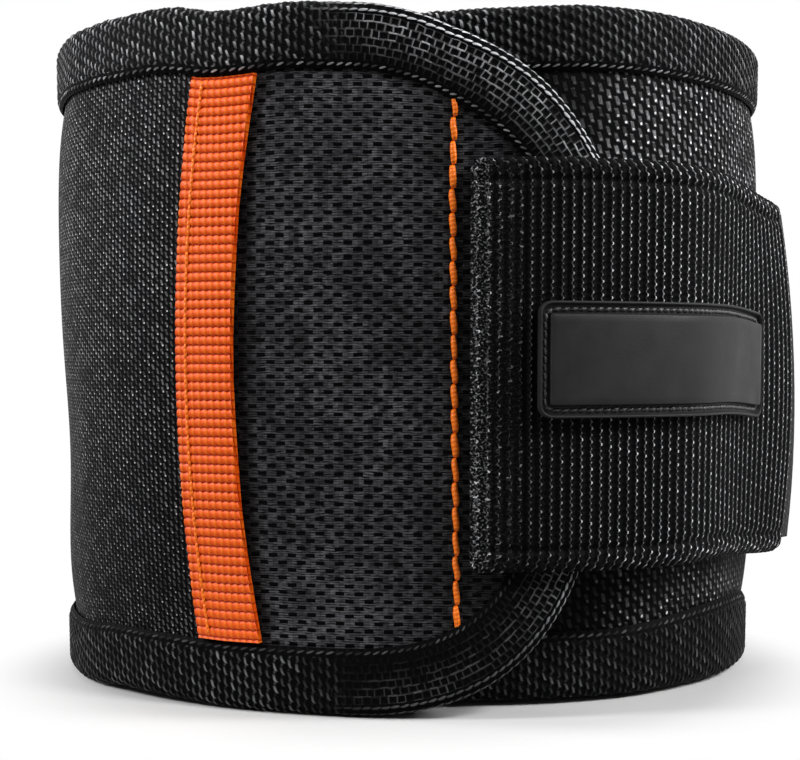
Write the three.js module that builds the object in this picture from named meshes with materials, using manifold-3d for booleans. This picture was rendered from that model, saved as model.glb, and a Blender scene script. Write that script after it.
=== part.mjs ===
// A magnetic wristband for screws and nuts, standing on its long edge, closed into a ring.
// One strip of layered fabric is wound as a spiral: its hidden end lies at the front under
// the flap, and the flap's rounded tip carries a strap that closes the ring with hook and loop.
// Millimetres, +Z up, the flap towards -Y, +X to the right of someone who looks at the flap.

import * as THREE from 'three';
import { mergeVertices } from 'three/addons/utils/BufferGeometryUtils.js';
import Module from 'manifold-3d';

const wasm = await Module();
wasm.setup();

// Driving dimensions of the whole band
const BAND_HEIGHT = 90;
const RING_RADIUS = 51;
const CLEARANCE = 0.3;

// Fabric layers, from the outer face inwards
const SHELL_THICKNESS = 0.7;
const CORE_THICKNESS = 2.6;
const LINING_THICKNESS = 0.8;
const BINDING_THICKNESS = 0.8;
const BINDING_WIDTH = 8.7;
const BINDING_CHAMFER = 0.5;

// The ring's plan: radius as a share of RING_RADIUS at an angle in degrees, counted from the
// front towards the right. The back is at 180 and the left at 270.
const RING_SHARES = [
  [-16, 1.01], [0, 1.01], [15, 1.01], [25, 1.01], [38, 1.01], [51, 1.0], [65, 0.995],
  [85, 0.99], [100, 0.99], [120, 0.985], [150, 0.97], [180, 0.96], [210, 0.965], [240, 0.98],
  [258, 0.995], [276, 1.008], [296, 1.018], [305, 1.019], [316, 1.012], [327, 1.003],
  [338, 1.0], [350, 1.004], [360, 1.008], [370, 1.01], [380, 1.01], [390, 1.01], [402, 1.01],
];

// How far the hidden end dives under the flap, and how far the flap's tip rides up over it
const TUCK_SPARE = 1.3;
const TUCK_SHARES = [
  [-16, 1], [0, 0.98], [15, 0.83], [25, 0.68], [38, 0.52], [51, 0.39], [65, 0.25], [85, 0.07],
  [100, 0], [402, 0],
];
const TIP_LIFT = 2.3;
const LIFT_SHARES = [[-16, 0], [345, 0], [360, 0.15], [370, 0.56], [380, 0.8], [396, 1], [402, 1]];
const HIDDEN_END_RISE = 1.3;
const HIDDEN_END_RISE_ANGLES = { full: 40, none: 120 };

// The ring is wider from left to right at its top than at its foot: this share of its width
const TOP_SPREAD_SHARE = 0.04;

// The padding swells the outer panels between the bindings, less where the wall is pressed in
const SWELL = 1.3;
const SWELL_SHARES = [[-16, 0], [72, 0], [78, 0.5], [84, 1], [280, 1], [290, 0.6], [300, 0], [402, 0]];
const SWELL_POWER = 6;
const SWELL_ROW_SHARES = [-1, -0.83, -0.74, -0.45, 0, 0.45, 0.74, 0.83, 1];
const DENT_DEPTH = 1.1;
const DENT_ANGLE = 272;
const DENT_ANGLE_REACH = 24;
const DENT_HEIGHT = 31;
const DENT_HEIGHT_REACH = 15;

// Places on the ring, as angles in degrees
const HIDDEN_END_ANGLE = -12;
const LOOP_PANEL_END_ANGLE = 132;
const PAD_JOIN_ANGLES = [78, 176];
const SEAM_ANGLE = 276;
const TIP_ANGLE = 389.65;
const HIDDEN_END_CORNER_RADIUS = 12;
const SEAM_GAP = 0.4;
const STATION_STEP = 6;

// The flap: rounded tip, barrel bulge over the magnets, orange tape, magnet strips. The tip's
// edge is a superellipse above the middle and a blunter one below it.
const TIP_TOP_REACH = 40;
const TIP_TOP_POWER = 2.15;
const TIP_FOOT_REACH = 35.5;
const TIP_FOOT_POWER = 2.6;
const TIP_BLEND_SHARE = 0.5;
const TIP_STEPS = 11;
const TIP_LAST_TURN_SHARE = 0.955;
const FLAP_BULGE = 2.0;
const FLAP_ROWS = 8;
const STITCH_LINE_FROM_TIP = 21.75;
const TAPE_WIDTH = 8.8;
const TAPE_THICKNESS = 0.9;
const TAPE_BOW = 1.6;
const TAPE_EDGE_FROM_TIP = 48.25;
const TAPE_OVER_FRONT_PANEL = 4;
const MAGNET_ROWS = 3;
const MAGNET_RADIUS = 6;
const MAGNET_THICKNESS = 2;
const MAGNET_SINK = 0.45;
const MAGNET_FROM_STITCH_LINE = 8.5;
const MAGNET_FREE_FROM_SEAM = 12;
const CARRIER_WIDTH = 14.5;
const CARRIER_SPACING = 0.6;
const CARRIER_FROM_EDGE = 6;
const CARRIER_THICKNESS = 1.8;
const ROUND_SIDES = 24;

// The strap: sewn end on the flap, free tail, hook strip and rubber patch
const STRAP_WIDTH = 51.7;
const STRAP_THICKNESS = 1.5;
const STRAP_CENTRE_BELOW_BAND_CENTRE = 0.6;
const STRAP_SEWN_LENGTH = 6;
const STRAP_SEWN_FROM_TIP = 14.75;
const STRAP_END_ANGLE = 85;
const STRAP_END_CORNER_RADIUS = 4;
const STRAP_STEP = 4;
const STRAP_ROWS = 4;
const STRAP_FLARE = 5.0;
const STRAP_END_DROOP = 2.0;
const STRAP_END_BOW = 1.9;
const STRAP_END_TWIST = 0.7;
const STRAP_END_STARTS_ANGLE = 45;

// The strap's way down from the flap to the loop panel, below zero where the flap's thick edge
// holds it up, and its way out at its loose end
const DROP_SHARES = [
  [8, 0], [14, -0.03], [20, -0.07], [26, -0.1], [32, -0.085], [38, 0], [45, 0.28],
  [53, 0.62], [60, 0.86], [66, 0.97], [72, 1], [98, 1],
];
const FLARE_SHARES = [[8, 0], [66, 0], [72, 0.04], [78, 0.17], [82, 0.31], [85, 0.48], [89, 1], [98, 2]];
const HOOK_THICKNESS = 1.2;
const HOOK_INSET = 1.5;
const HOOK_START_ANGLE = 54;
const HOOK_PAST_END = 4.0;
const HOOK_SKEW = 1.0;
const PATCH_LENGTH = 45.7;
const PATCH_WIDTH = 14.6;
const PATCH_FROM_HINGE = 1.5;
const PATCH_CORNER_RADIUS = 1.6;
const PATCH_HEIGHT = 1.9;
const PATCH_FLOOR = 0.9;
const PATCH_RIM_WIDTH = 0.45;
const PATCH_GROOVE_WIDTH = 0.9;
const PATCH_EASE = 0.2;
const PATCH_SIDE_STEPS = 14;
const PATCH_CORNER_STEPS = 4;

// Sizes that follow from the ones above
const STACK = SHELL_THICKNESS + CORE_THICKNESS + LINING_THICKNESS + 2 * CLEARANCE;
const BINDING_PROUD = BINDING_THICKNESS + CLEARANCE;
const EDGE_INSET = BINDING_THICKNESS + CLEARANCE;
const CORE_DEPTH = SHELL_THICKNESS + CLEARANCE;
const LINING_DEPTH = CORE_DEPTH + CORE_THICKNESS + CLEARANCE;
const MIDDLE = BAND_HEIGHT / 2;
const TUCK_DEPTH = STACK + 2 * BINDING_PROUD + CLEARANCE + TUCK_SPARE;
const STRAP_MIDDLE = MIDDLE - STRAP_CENTRE_BELOW_BAND_CENTRE;
const STRAP_SEAT = BINDING_PROUD + CLEARANCE;
const HOOK_SEAT = HOOK_THICKNESS + 2 * CLEARANCE;

// Straight-line interpolation in a table of [angle, share] rows
function shareAt(table, angle) {
  const next = table.findIndex((row) => row[0] >= angle);
  if (next === 0) {
    return table[0][1];
  }
  if (next < 0) {
    return table[table.length - 1][1];
  }
  const [startAngle, startShare] = table[next - 1];
  const [endAngle, endShare] = table[next];
  return THREE.MathUtils.mapLinear(angle, startAngle, endAngle, startShare, endShare);
}

function polar(angle, radius) {
  const turn = THREE.MathUtils.degToRad(angle);
  return new THREE.Vector3(radius * Math.sin(turn), -radius * Math.cos(turn), 0);
}

function ringRadius(angle) {
  return RING_RADIUS * shareAt(RING_SHARES, angle);
}

function hiddenEndRadius(angle) {
  return ringRadius(angle) - TUCK_DEPTH * shareAt(TUCK_SHARES, angle);
}

// A plan line that knows the distance along it of each angle on the ring
class PlanLine {
  constructor(angles, radiusAt) {
    this.angles = angles;
    this.points = angles.map((angle) => polar(angle, radiusAt(angle)));
    this.curve = new THREE.CatmullRomCurve3(this.points, false, 'centripetal');
    this.curve.arcLengthDivisions = 1200;
    this.length = this.curve.getLength();
  }

  // The distance along the line of a ring angle, by halving
  at(angle) {
    const first = this.angles[0];
    const last = this.angles[this.angles.length - 1];
    let low = 0;
    let high = this.length;
    for (let halving = 0; halving < 40; halving += 1) {
      const middle = (low + high) / 2;
      const point = this.curve.getPointAt(middle / this.length);
      const raw = THREE.MathUtils.radToDeg(Math.atan2(point.x, -point.y));
      const guess = THREE.MathUtils.mapLinear(middle, 0, this.length, first, last);
      const turned = raw + 360 * Math.round((guess - raw) / 360);
      if (turned < angle) {
        low = middle;
      } else {
        high = middle;
      }
    }
    return (low + high) / 2;
  }

  // The point at a distance along the line and a depth inwards from it
  place(distance, depth, height) {
    const share = THREE.MathUtils.clamp(distance / this.length, 0, 1);
    const point = this.curve.getPointAt(share);
    const tangent = this.curve.getTangentAt(share);
    return new THREE.Vector3(point.x - depth * tangent.y, point.y + depth * tangent.x, height);
  }
}

const bandAngles = RING_SHARES.map((row) => row[0]);
const bandLine = new PlanLine(bandAngles, (angle) => {
  const lift = TIP_LIFT * shareAt(LIFT_SHARES, angle);
  return hiddenEndRadius(angle) + lift;
});

const HIDDEN_END = bandLine.at(HIDDEN_END_ANGLE);
const SEAM = bandLine.at(SEAM_ANGLE);
const TIP = bandLine.at(TIP_ANGLE);
const ROUND_START = TIP - tipReach(0, 0);
const STITCH_LINE = TIP - STITCH_LINE_FROM_TIP;
const DENT_PLACE = bandLine.at(DENT_ANGLE);
const DENT_REACH = bandLine.at(DENT_ANGLE + DENT_ANGLE_REACH) - DENT_PLACE;
const RISE_FULL = bandLine.at(HIDDEN_END_RISE_ANGLES.full);
const RISE_NONE = bandLine.at(HIDDEN_END_RISE_ANGLES.none);

// Spreads a place from left to right with its height
function spread(point) {
  point.x *= 1 + TOP_SPREAD_SHARE * (point.z / BAND_HEIGHT - MIDDLE / BAND_HEIGHT);
  return point;
}

// The layered strip: bulged over the magnets, with its hidden end a little higher
function onBand(distance, depth, height) {
  const along = THREE.MathUtils.clamp((distance - SEAM) / (STITCH_LINE - SEAM), 0, 1);
  const across = height / MIDDLE - 1;
  const bulge = FLAP_BULGE * Math.sin(Math.PI * along) ** 2 * (1 - across * across);
  const rise = HIDDEN_END_RISE * (1 - THREE.MathUtils.smoothstep(distance, RISE_FULL, RISE_NONE));
  return spread(bandLine.place(distance, depth - bulge, height + rise));
}

const SWELL_PLACES = SWELL_SHARES.map(([angle, share]) => [bandLine.at(angle), share]);

// How far the outer panels stand out over the padding at a place on the strip
function swellAt(distance, height) {
  const across = Math.min(1, Math.abs(height - MIDDLE) / (MIDDLE - BINDING_WIDTH));
  const full = SWELL * shareAt(SWELL_PLACES, distance) * (1 - across ** SWELL_POWER);
  const aside = (distance - DENT_PLACE) / DENT_REACH;
  const above = (height - DENT_HEIGHT) / DENT_HEIGHT_REACH;
  return Math.max(0, full - DENT_DEPTH * Math.exp(-aside * aside - above * above));
}

// The strap's free tail: over the flap's tip, down to the loop panel, flared at its end.
// Its plan line is the strap's inner face.
const strapAngles = [8, 14, 20, 26, 32, 38, 45, 53, 60, 66, 72, 78, 82, 85, 89, 93, 98];
const strapLine = new PlanLine(strapAngles, (angle) => {
  const flapAngle = angle + 360;
  const overFlap = ringRadius(flapAngle) + TIP_LIFT * shareAt(LIFT_SHARES, flapAngle) + STRAP_SEAT;
  const overLoops = hiddenEndRadius(angle) + HOOK_SEAT;
  const radius = THREE.MathUtils.lerp(overFlap, overLoops, shareAt(DROP_SHARES, angle));
  return radius + STRAP_FLARE * shareAt(FLARE_SHARES, angle);
});
const sewnFrom = TIP - STRAP_SEWN_FROM_TIP - STRAP_SEWN_LENGTH;
const sewnTo = TIP - STRAP_SEWN_FROM_TIP;
const sewnEdge = onBand(sewnTo, -STRAP_SEAT, STRAP_MIDDLE);
const hingeAngle = THREE.MathUtils.radToDeg(Math.atan2(sewnEdge.x, -sewnEdge.y));
const TAIL_START = strapLine.at(hingeAngle) + CLEARANCE;
const TAIL_END = strapLine.at(STRAP_END_ANGLE);
const TAIL_LOOSENS = strapLine.at(STRAP_END_STARTS_ANGLE);

function onStrap(distance, depth, height) {
  const share = THREE.MathUtils.smoothstep(distance, TAIL_LOOSENS, TAIL_END);
  const level = (height - STRAP_MIDDLE) / (STRAP_WIDTH / 2);
  const loose = STRAP_END_BOW * (1 - level * level) - STRAP_END_TWIST * level;
  const droop = STRAP_END_DROOP * share;
  return spread(strapLine.place(distance, depth - share * share * loose, height - droop));
}

// Distances from one place to another, both included, no further apart than a step
function stations(from, to, step) {
  const count = Math.max(1, Math.ceil((to - from) / step));
  return Array.from({ length: count + 1 }, (_, index) => from + ((to - from) * index) / count);
}

// How far the flap's tip reaches past where its edge turns, at a level from -1 to 1
function tipReach(level, inset) {
  const share = THREE.MathUtils.smoothstep(level, -TIP_BLEND_SHARE, TIP_BLEND_SHARE);
  const reach = THREE.MathUtils.lerp(TIP_FOOT_REACH, TIP_TOP_REACH, share) - inset;
  const power = THREE.MathUtils.lerp(TIP_FOOT_POWER, TIP_TOP_POWER, share);
  return reach * (1 - Math.abs(level) ** power) ** (1 / power);
}

// The level at which the flap's edge crosses a distance, above or below the middle
function tipLevel(distance, inset, side) {
  const past = distance - ROUND_START;
  let inner = 0;
  let outer = side;
  for (let halving = 0; halving < 30 && past > 0; halving += 1) {
    const middle = (inner + outer) / 2;
    if (tipReach(middle, inset) > past) {
      inner = middle;
    } else {
      outer = middle;
    }
  }
  return outer;
}

// Distances that close in on the flap's rounded tip
function tipStations(inset) {
  return Array.from({ length: TIP_STEPS }, (_, index) => {
    const turn = (TIP_LAST_TURN_SHARE * (index + 1) * Math.PI) / (2 * TIP_STEPS);
    return ROUND_START + tipReach(0, inset) * Math.sin(turn);
  });
}

// The lower and upper edge of a strip round a middle height
function around(middle, half) {
  return [middle - half, middle + half];
}

// The flap's lower and upper edge at a distance along it
function flapEdges(distance, inset) {
  const half = MIDDLE - inset;
  return [-1, 1].map((side) => MIDDLE + half * tipLevel(distance, inset, side));
}

// Half the strip's height near the hidden end, which has round corners
function bandHalfHeight(distance, inset) {
  const radius = HIDDEN_END_CORNER_RADIUS - inset;
  const short = Math.max(0, HIDDEN_END + HIDDEN_END_CORNER_RADIUS - distance);
  return MIDDLE - inset - (radius - Math.sqrt(Math.max(0, radius * radius - short * short)));
}

// Stations of the hidden end's corners, then even ones
function hiddenEndStations(to, inset) {
  const centre = HIDDEN_END + HIDDEN_END_CORNER_RADIUS;
  const radius = HIDDEN_END_CORNER_RADIUS - inset;
  const corner = [0.97, 0.85, 0.62, 0.32].map((share) => centre - radius * share);
  return [...corner, ...stations(centre, to, STATION_STEP)];
}

// A sheet of fabric: a box split into columns and rows and bent onto a surface. Its inner face
// takes the given share of the swell, its outer face all of it. innerLift makes it thinner from
// the inside, by a length at each distance.
function sheet({
  surface, places, rows, rowShares, depth, thickness, edges, shift, innerSwell, innerLift,
}) {
  const columns = places.length - 1;
  const geometry = new THREE.BoxGeometry(1, 1, 1, columns, 1, rows);
  const position = geometry.attributes.position;
  for (let index = 0; index < position.count; index += 1) {
    const distance = places[Math.round((position.getX(index) + 0.5) * columns)];
    const row = (position.getZ(index) + 0.5) * rows;
    const level = rowShares ? rowShares[Math.round(row)] : (2 * row) / rows - 1;
    const [low, high] = edges(distance);
    const height = THREE.MathUtils.lerp(low, high, (level + 1) / 2);
    const aside = shift ? shift(level) : 0;
    const isInner = position.getY(index) > 0;
    const swell = rowShares ? swellAt(distance, height) * (isInner ? innerSwell : 1) : 0;
    const through = innerLift ? thickness - innerLift(distance) : thickness;
    const inwards = depth + (isInner ? through : 0) - swell;
    const point = surface(distance + aside, inwards, height);
    position.setXYZ(index, point.x, point.y, point.z);
  }
  return geometry;
}

// A solid through closed loops of points, each loop joined to the next, with both ends closed
function loft(loops, firstCap, lastCap) {
  const size = loops[0].length;
  const index = [];
  for (let ring = 0; ring + 1 < loops.length; ring += 1) {
    for (let side = 0; side < size; side += 1) {
      const a = ring * size + side;
      const b = ring * size + ((side + 1) % size);
      index.push(a, b, b + size, a, b + size, a + size);
    }
  }
  const last = (loops.length - 1) * size;
  firstCap.forEach(([a, b, c]) => index.push(c, b, a));
  lastCap.forEach(([a, b, c]) => index.push(last + a, last + b, last + c));
  const geometry = new THREE.BufferGeometry();
  const points = loops.flat().flatMap((point) => [point.x, point.y, point.z]);
  geometry.setAttribute('position', new THREE.Float32BufferAttribute(points, 3));
  geometry.setIndex(index);
  geometry.computeVertexNormals();
  return geometry;
}

// The binding's section, folded over the strip's edge: x runs inwards from the edge along the
// face, and y is the depth from the outer face
function bindingSection() {
  const outside = -BINDING_PROUD;
  const inside = STACK + BINDING_PROUD;
  return [
    [BINDING_WIDTH, outside],
    [BINDING_WIDTH, outside + BINDING_THICKNESS],
    [BINDING_THICKNESS, outside + BINDING_THICKNESS],
    [BINDING_THICKNESS, inside - BINDING_THICKNESS],
    [BINDING_WIDTH, inside - BINDING_THICKNESS],
    [BINDING_WIDTH, inside],
    [BINDING_CHAMFER, inside],
    [0, inside - BINDING_CHAMFER],
    [0, outside + BINDING_CHAMFER],
    [BINDING_CHAMFER, outside],
  ].map(([inwards, depth]) => new THREE.Vector2(inwards, depth));
}

// A binding swept along the strip's edge, given as places in the flat strip: x is the distance
// along it and y the height. The edge runs clockwise, so its inner side is on the right.
function binding(edge) {
  const section = bindingSection();
  const loops = edge.map((place, index) => {
    const before = edge[Math.max(0, index - 1)];
    const after = edge[Math.min(edge.length - 1, index + 1)];
    const along = after.clone().sub(before).normalize();
    return section.map((corner) =>
      onBand(place.x + along.y * corner.x, corner.y, place.y - along.x * corner.x),
    );
  });
  const cap = THREE.ShapeUtils.triangulateShape(section, []);
  return loft(loops, cap, cap);
}

function flatPlace(distance, height) {
  return new THREE.Vector2(distance, height);
}

// The flap's edge: along the top, round the tip and back along the bottom
function flapEdge() {
  const start = SEAM + SEAM_GAP / 2;
  const straight = stations(start, ROUND_START, STATION_STEP);
  const turns = stations(0, Math.PI, Math.PI / (3 * TIP_STEPS)).slice(1, -1);
  return [
    ...straight.map((distance) => flatPlace(distance, BAND_HEIGHT)),
    ...turns.map((turn) => {
      const level = Math.cos(turn);
      return flatPlace(ROUND_START + tipReach(level, 0), MIDDLE + MIDDLE * level);
    }),
    ...straight.reverse().map((distance) => flatPlace(distance, 0)),
  ];
}

// The band's edge: along the bottom to the hidden end, up it and back along the top
function bandEdge() {
  const radius = HIDDEN_END_CORNER_RADIUS;
  const corner = HIDDEN_END + radius;
  const straight = stations(corner, SEAM - SEAM_GAP / 2, STATION_STEP);
  const turns = stations(0, Math.PI / 2, Math.PI / 12).slice(1);
  const rising = stations(radius, BAND_HEIGHT - radius, STATION_STEP).slice(1);
  return [
    ...[...straight].reverse().map((distance) => flatPlace(distance, 0)),
    ...turns.map((turn) =>
      flatPlace(corner - radius * Math.sin(turn), radius - radius * Math.cos(turn)),
    ),
    ...rising.map((height) => flatPlace(HIDDEN_END, height)),
    ...turns.map((turn) =>
      flatPlace(
        corner - radius * Math.cos(turn),
        BAND_HEIGHT - radius + radius * Math.sin(turn),
      ),
    ),
    ...straight.slice(1).map((distance) => flatPlace(distance, BAND_HEIGHT)),
  ];
}

// Where a piece sits on the band, turned to the surface: x along it, y inwards, z up it
function frameOnBand(distance, depth, height) {
  const origin = onBand(distance, depth, height);
  const along = onBand(distance + CLEARANCE, depth, height).sub(origin).normalize();
  const up = onBand(distance, depth, height + CLEARANCE).sub(origin).normalize();
  const inwards = new THREE.Vector3().crossVectors(up, along).normalize();
  up.crossVectors(along, inwards);
  return new THREE.Matrix4().makeBasis(along, inwards, up).setPosition(origin);
}

function toManifold(geometry) {
  const bare = geometry.clone();
  bare.deleteAttribute('normal');
  bare.deleteAttribute('uv');
  const merged = mergeVertices(bare);
  return new wasm.Manifold(
    new wasm.Mesh({
      numProp: 3,
      vertProperties: merged.attributes.position.array,
      triVerts: new Uint32Array(merged.index.array),
    }),
  );
}

function fromManifold(solid) {
  const mesh = solid.getMesh();
  const geometry = new THREE.BufferGeometry();
  geometry.setAttribute('position', new THREE.BufferAttribute(mesh.vertProperties, 3));
  geometry.setIndex(new THREE.BufferAttribute(mesh.triVerts, 1));
  geometry.computeVertexNormals();
  return geometry;
}

// A disc whose axis runs inwards through the band's surface
function disc(radius, thickness, distance, depth, height) {
  const geometry = new THREE.CylinderGeometry(radius, radius, thickness, ROUND_SIDES);
  geometry.translate(0, thickness / 2, 0);
  return geometry.applyMatrix4(frameOnBand(distance, depth, height));
}

const materials = {
  loopFabric: { color: 0x1b1b1d, roughness: 0.85, metalness: 0 },
  ballistic: { color: 0x18181a, roughness: 0.7, metalness: 0 },
  binding: { color: 0x151517, roughness: 0.75, metalness: 0 },
  webbing: { color: 0x17171a, roughness: 0.75, metalness: 0 },
  mesh: { color: 0x202023, roughness: 0.9, metalness: 0 },
  foam: { color: 0x2a2a2d, roughness: 0.95, metalness: 0 },
  orange: { color: 0xf06a20, roughness: 0.6, metalness: 0 },
  rubber: { color: 0x35363a, roughness: 0.5, metalness: 0 },
  carrier: { color: 0x5c6066, roughness: 0.6, metalness: 0 },
  nickel: { color: 0xb9bcc0, roughness: 0.25, metalness: 1 },
};

const wristband = new THREE.Group();

function add(name, geometry, material) {
  const mesh = new THREE.Mesh(geometry, new THREE.MeshStandardMaterial(materials[material]));
  mesh.name = name;
  wristband.add(mesh);
  return mesh;
}

// The band behind the flap: panels, padding and lining
function bandLayer(name, places, depth, thickness, material) {
  const geometry = sheet({
    surface: onBand,
    places,
    rows: 1,
    depth,
    thickness,
    edges: (distance) => around(MIDDLE, bandHalfHeight(distance, EDGE_INSET)),
  });
  add(name, geometry, material);
}

// A panel or pad of the band that swells between the bindings
function swollenLayer(name, places, depth, thickness, material, innerSwell) {
  const geometry = sheet({
    surface: onBand,
    places,
    rows: SWELL_ROW_SHARES.length - 1,
    rowShares: SWELL_ROW_SHARES,
    depth,
    thickness,
    edges: (distance) => around(MIDDLE, bandHalfHeight(distance, EDGE_INSET)),
    innerSwell,
  });
  add(name, geometry, material);
}

function addBand() {
  const seamSide = SEAM - SEAM_GAP / 2;
  const panelJoin = bandLine.at(LOOP_PANEL_END_ANGLE);
  const loopPlaces = hiddenEndStations(panelJoin - SEAM_GAP / 2, EDGE_INSET);
  const backPlaces = stations(panelJoin + SEAM_GAP / 2, seamSide, STATION_STEP);
  swollenLayer('loop_panel', loopPlaces, 0, SHELL_THICKNESS, 'loopFabric', 1);
  swollenLayer('back_panel', backPlaces, 0, SHELL_THICKNESS, 'loopFabric', 1);
  const [rightJoin, backJoin] = PAD_JOIN_ANGLES.map((angle) => bandLine.at(angle));
  const padGap = SEAM_GAP / 2;
  const right = hiddenEndStations(rightJoin - padGap, EDGE_INSET);
  const back = stations(rightJoin + padGap, backJoin - padGap, STATION_STEP);
  const left = stations(backJoin + padGap, seamSide, STATION_STEP);
  swollenLayer('front_right_pad', right, CORE_DEPTH, CORE_THICKNESS, 'foam', 0);
  swollenLayer('back_right_pad', back, CORE_DEPTH, CORE_THICKNESS, 'foam', 0);
  swollenLayer('back_left_pad', left, CORE_DEPTH, CORE_THICKNESS, 'foam', 0);
  const whole = hiddenEndStations(seamSide, EDGE_INSET);
  bandLayer('band_lining', whole, LINING_DEPTH, LINING_THICKNESS, 'mesh');
  add('band_edge_binding', binding(bandEdge()), 'binding');
}

// The flap: two shell panels that meet under the tape, and the lining
function flapLayer(name, places, depth, thickness, material) {
  const geometry = sheet({
    surface: onBand,
    places,
    rows: FLAP_ROWS,
    depth,
    thickness,
    edges: (distance) => flapEdges(distance, EDGE_INSET),
  });
  add(name, geometry, material);
}

function addFlap() {
  const start = SEAM + SEAM_GAP / 2;
  const tapeEdge = TIP - TAPE_EDGE_FROM_TIP;
  const join = tapeEdge - TAPE_OVER_FRONT_PANEL;
  const sidePlaces = stations(start, join - SEAM_GAP / 2, STATION_STEP);
  const frontPlaces = stations(join + SEAM_GAP / 2, ROUND_START, STATION_STEP);
  const wholePlaces = stations(start, ROUND_START, STATION_STEP);
  const tip = tipStations(EDGE_INSET);
  swollenLayer('side_panel', sidePlaces, 0, SHELL_THICKNESS, 'loopFabric', 1);
  flapLayer('front_panel', [...frontPlaces, ...tip], 0, SHELL_THICKNESS, 'ballistic');
  flapLayer('flap_lining', [...wholePlaces, ...tip], LINING_DEPTH, LINING_THICKNESS, 'mesh');
  const tipPlaces = tip.filter((place) => place > STITCH_LINE + STATION_STEP / 2);
  const padPlaces = [STITCH_LINE + CLEARANCE, ...tipPlaces];
  flapLayer('flap_tip_pad', padPlaces, CORE_DEPTH, CORE_THICKNESS, 'foam');
  add('flap_edge_binding', binding(flapEdge()), 'binding');
  const tape = sheet({
    surface: onBand,
    places: stations(tapeEdge - TAPE_WIDTH, tapeEdge, TAPE_WIDTH / 2),
    rows: FLAP_ROWS,
    depth: -CLEARANCE - TAPE_THICKNESS,
    thickness: TAPE_THICKNESS,
    edges: () => around(MIDDLE, MIDDLE - BINDING_WIDTH - CLEARANCE),
    shift: (level) => -TAPE_BOW * (1 - level * level),
  });
  add('orange_tape', tape, 'orange');
}

// Magnet strips: each holds a column of discs in round holes
function addMagnets() {
  const last = STITCH_LINE - MAGNET_FROM_STITCH_LINE;
  const pitch = CARRIER_WIDTH + CARRIER_SPACING;
  const gaps = Math.floor((last - SEAM - MAGNET_FREE_FROM_SEAM) / pitch);
  const depth = CORE_DEPTH + MAGNET_SINK;
  const halfHeight = MIDDLE - CARRIER_FROM_EDGE;
  const rowPitch = (2 * halfHeight) / MAGNET_ROWS;
  for (let column = 0; column <= gaps; column += 1) {
    const distance = last - (gaps - column) * pitch;
    const strip = sheet({
      surface: onBand,
      places: stations(distance - CARRIER_WIDTH / 2, distance + CARRIER_WIDTH / 2, CARRIER_WIDTH / 4),
      rows: FLAP_ROWS,
      depth,
      thickness: CARRIER_THICKNESS,
      edges: () => around(MIDDLE, halfHeight),
    });
    let solid = toManifold(strip);
    for (let row = 0; row < MAGNET_ROWS; row += 1) {
      const height = MIDDLE + (row - (MAGNET_ROWS - 1) / 2) * rowPitch;
      const hole = disc(
        MAGNET_RADIUS + CLEARANCE,
        3 * MAGNET_THICKNESS,
        distance,
        depth - MAGNET_THICKNESS,
        height,
      );
      solid = solid.subtract(toManifold(hole));
      const magnet = disc(MAGNET_RADIUS, MAGNET_THICKNESS, distance, depth, height);
      add(`magnet_${column + 1}_${row + 1}`, magnet, 'nickel');
    }
    add(`magnet_strip_${column + 1}`, fromManifold(solid), 'carrier');
  }
}

// The strap: a doubled end sewn to the flap, and a tail that peels off the loop panel. The sewn
// end rises from the front panel onto the edge binding.
function sewnEndLift(distance) {
  const third = STRAP_SEWN_LENGTH / 3;
  const share = THREE.MathUtils.smoothstep(distance, sewnFrom + third, sewnFrom + 2 * third);
  return (STRAP_SEAT - CLEARANCE) * share;
}

function strapHalfHeight(distance) {
  const radius = STRAP_END_CORNER_RADIUS;
  const short = Math.max(0, distance - (TAIL_END - radius));
  return STRAP_WIDTH / 2 - (radius - Math.sqrt(Math.max(0, radius * radius - short * short)));
}

function addStrap() {
  const sewnEnd = sheet({
    surface: onBand,
    places: stations(sewnFrom, sewnTo, STRAP_SEWN_LENGTH / 3),
    rows: STRAP_ROWS,
    depth: -STRAP_SEAT - STRAP_THICKNESS,
    thickness: STRAP_SEAT + STRAP_THICKNESS - CLEARANCE,
    edges: () => around(STRAP_MIDDLE, STRAP_WIDTH / 2),
    innerLift: sewnEndLift,
  });
  add('strap_sewn_end', sewnEnd, 'webbing');
  const cornerStart = TAIL_END - STRAP_END_CORNER_RADIUS;
  const corner = [0.4, 0.75, 0.95].map((share) => cornerStart + share * STRAP_END_CORNER_RADIUS);
  const tail = sheet({
    surface: onStrap,
    places: [...stations(TAIL_START, cornerStart, STRAP_STEP), ...corner],
    rows: STRAP_ROWS,
    depth: -STRAP_THICKNESS,
    thickness: STRAP_THICKNESS,
    edges: (distance) => around(STRAP_MIDDLE, strapHalfHeight(distance)),
  });
  add('strap_tail', tail, 'webbing');
  const hooks = sheet({
    surface: onStrap,
    places: stations(strapLine.at(HOOK_START_ANGLE), TAIL_END + HOOK_PAST_END, STRAP_STEP),
    rows: STRAP_ROWS,
    depth: CLEARANCE,
    thickness: HOOK_THICKNESS,
    edges: () => around(STRAP_MIDDLE, STRAP_WIDTH / 2 - HOOK_INSET),
    shift: (level) => -HOOK_SKEW * level,
  });
  add('hook_strip', hooks, 'webbing');
}

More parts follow.
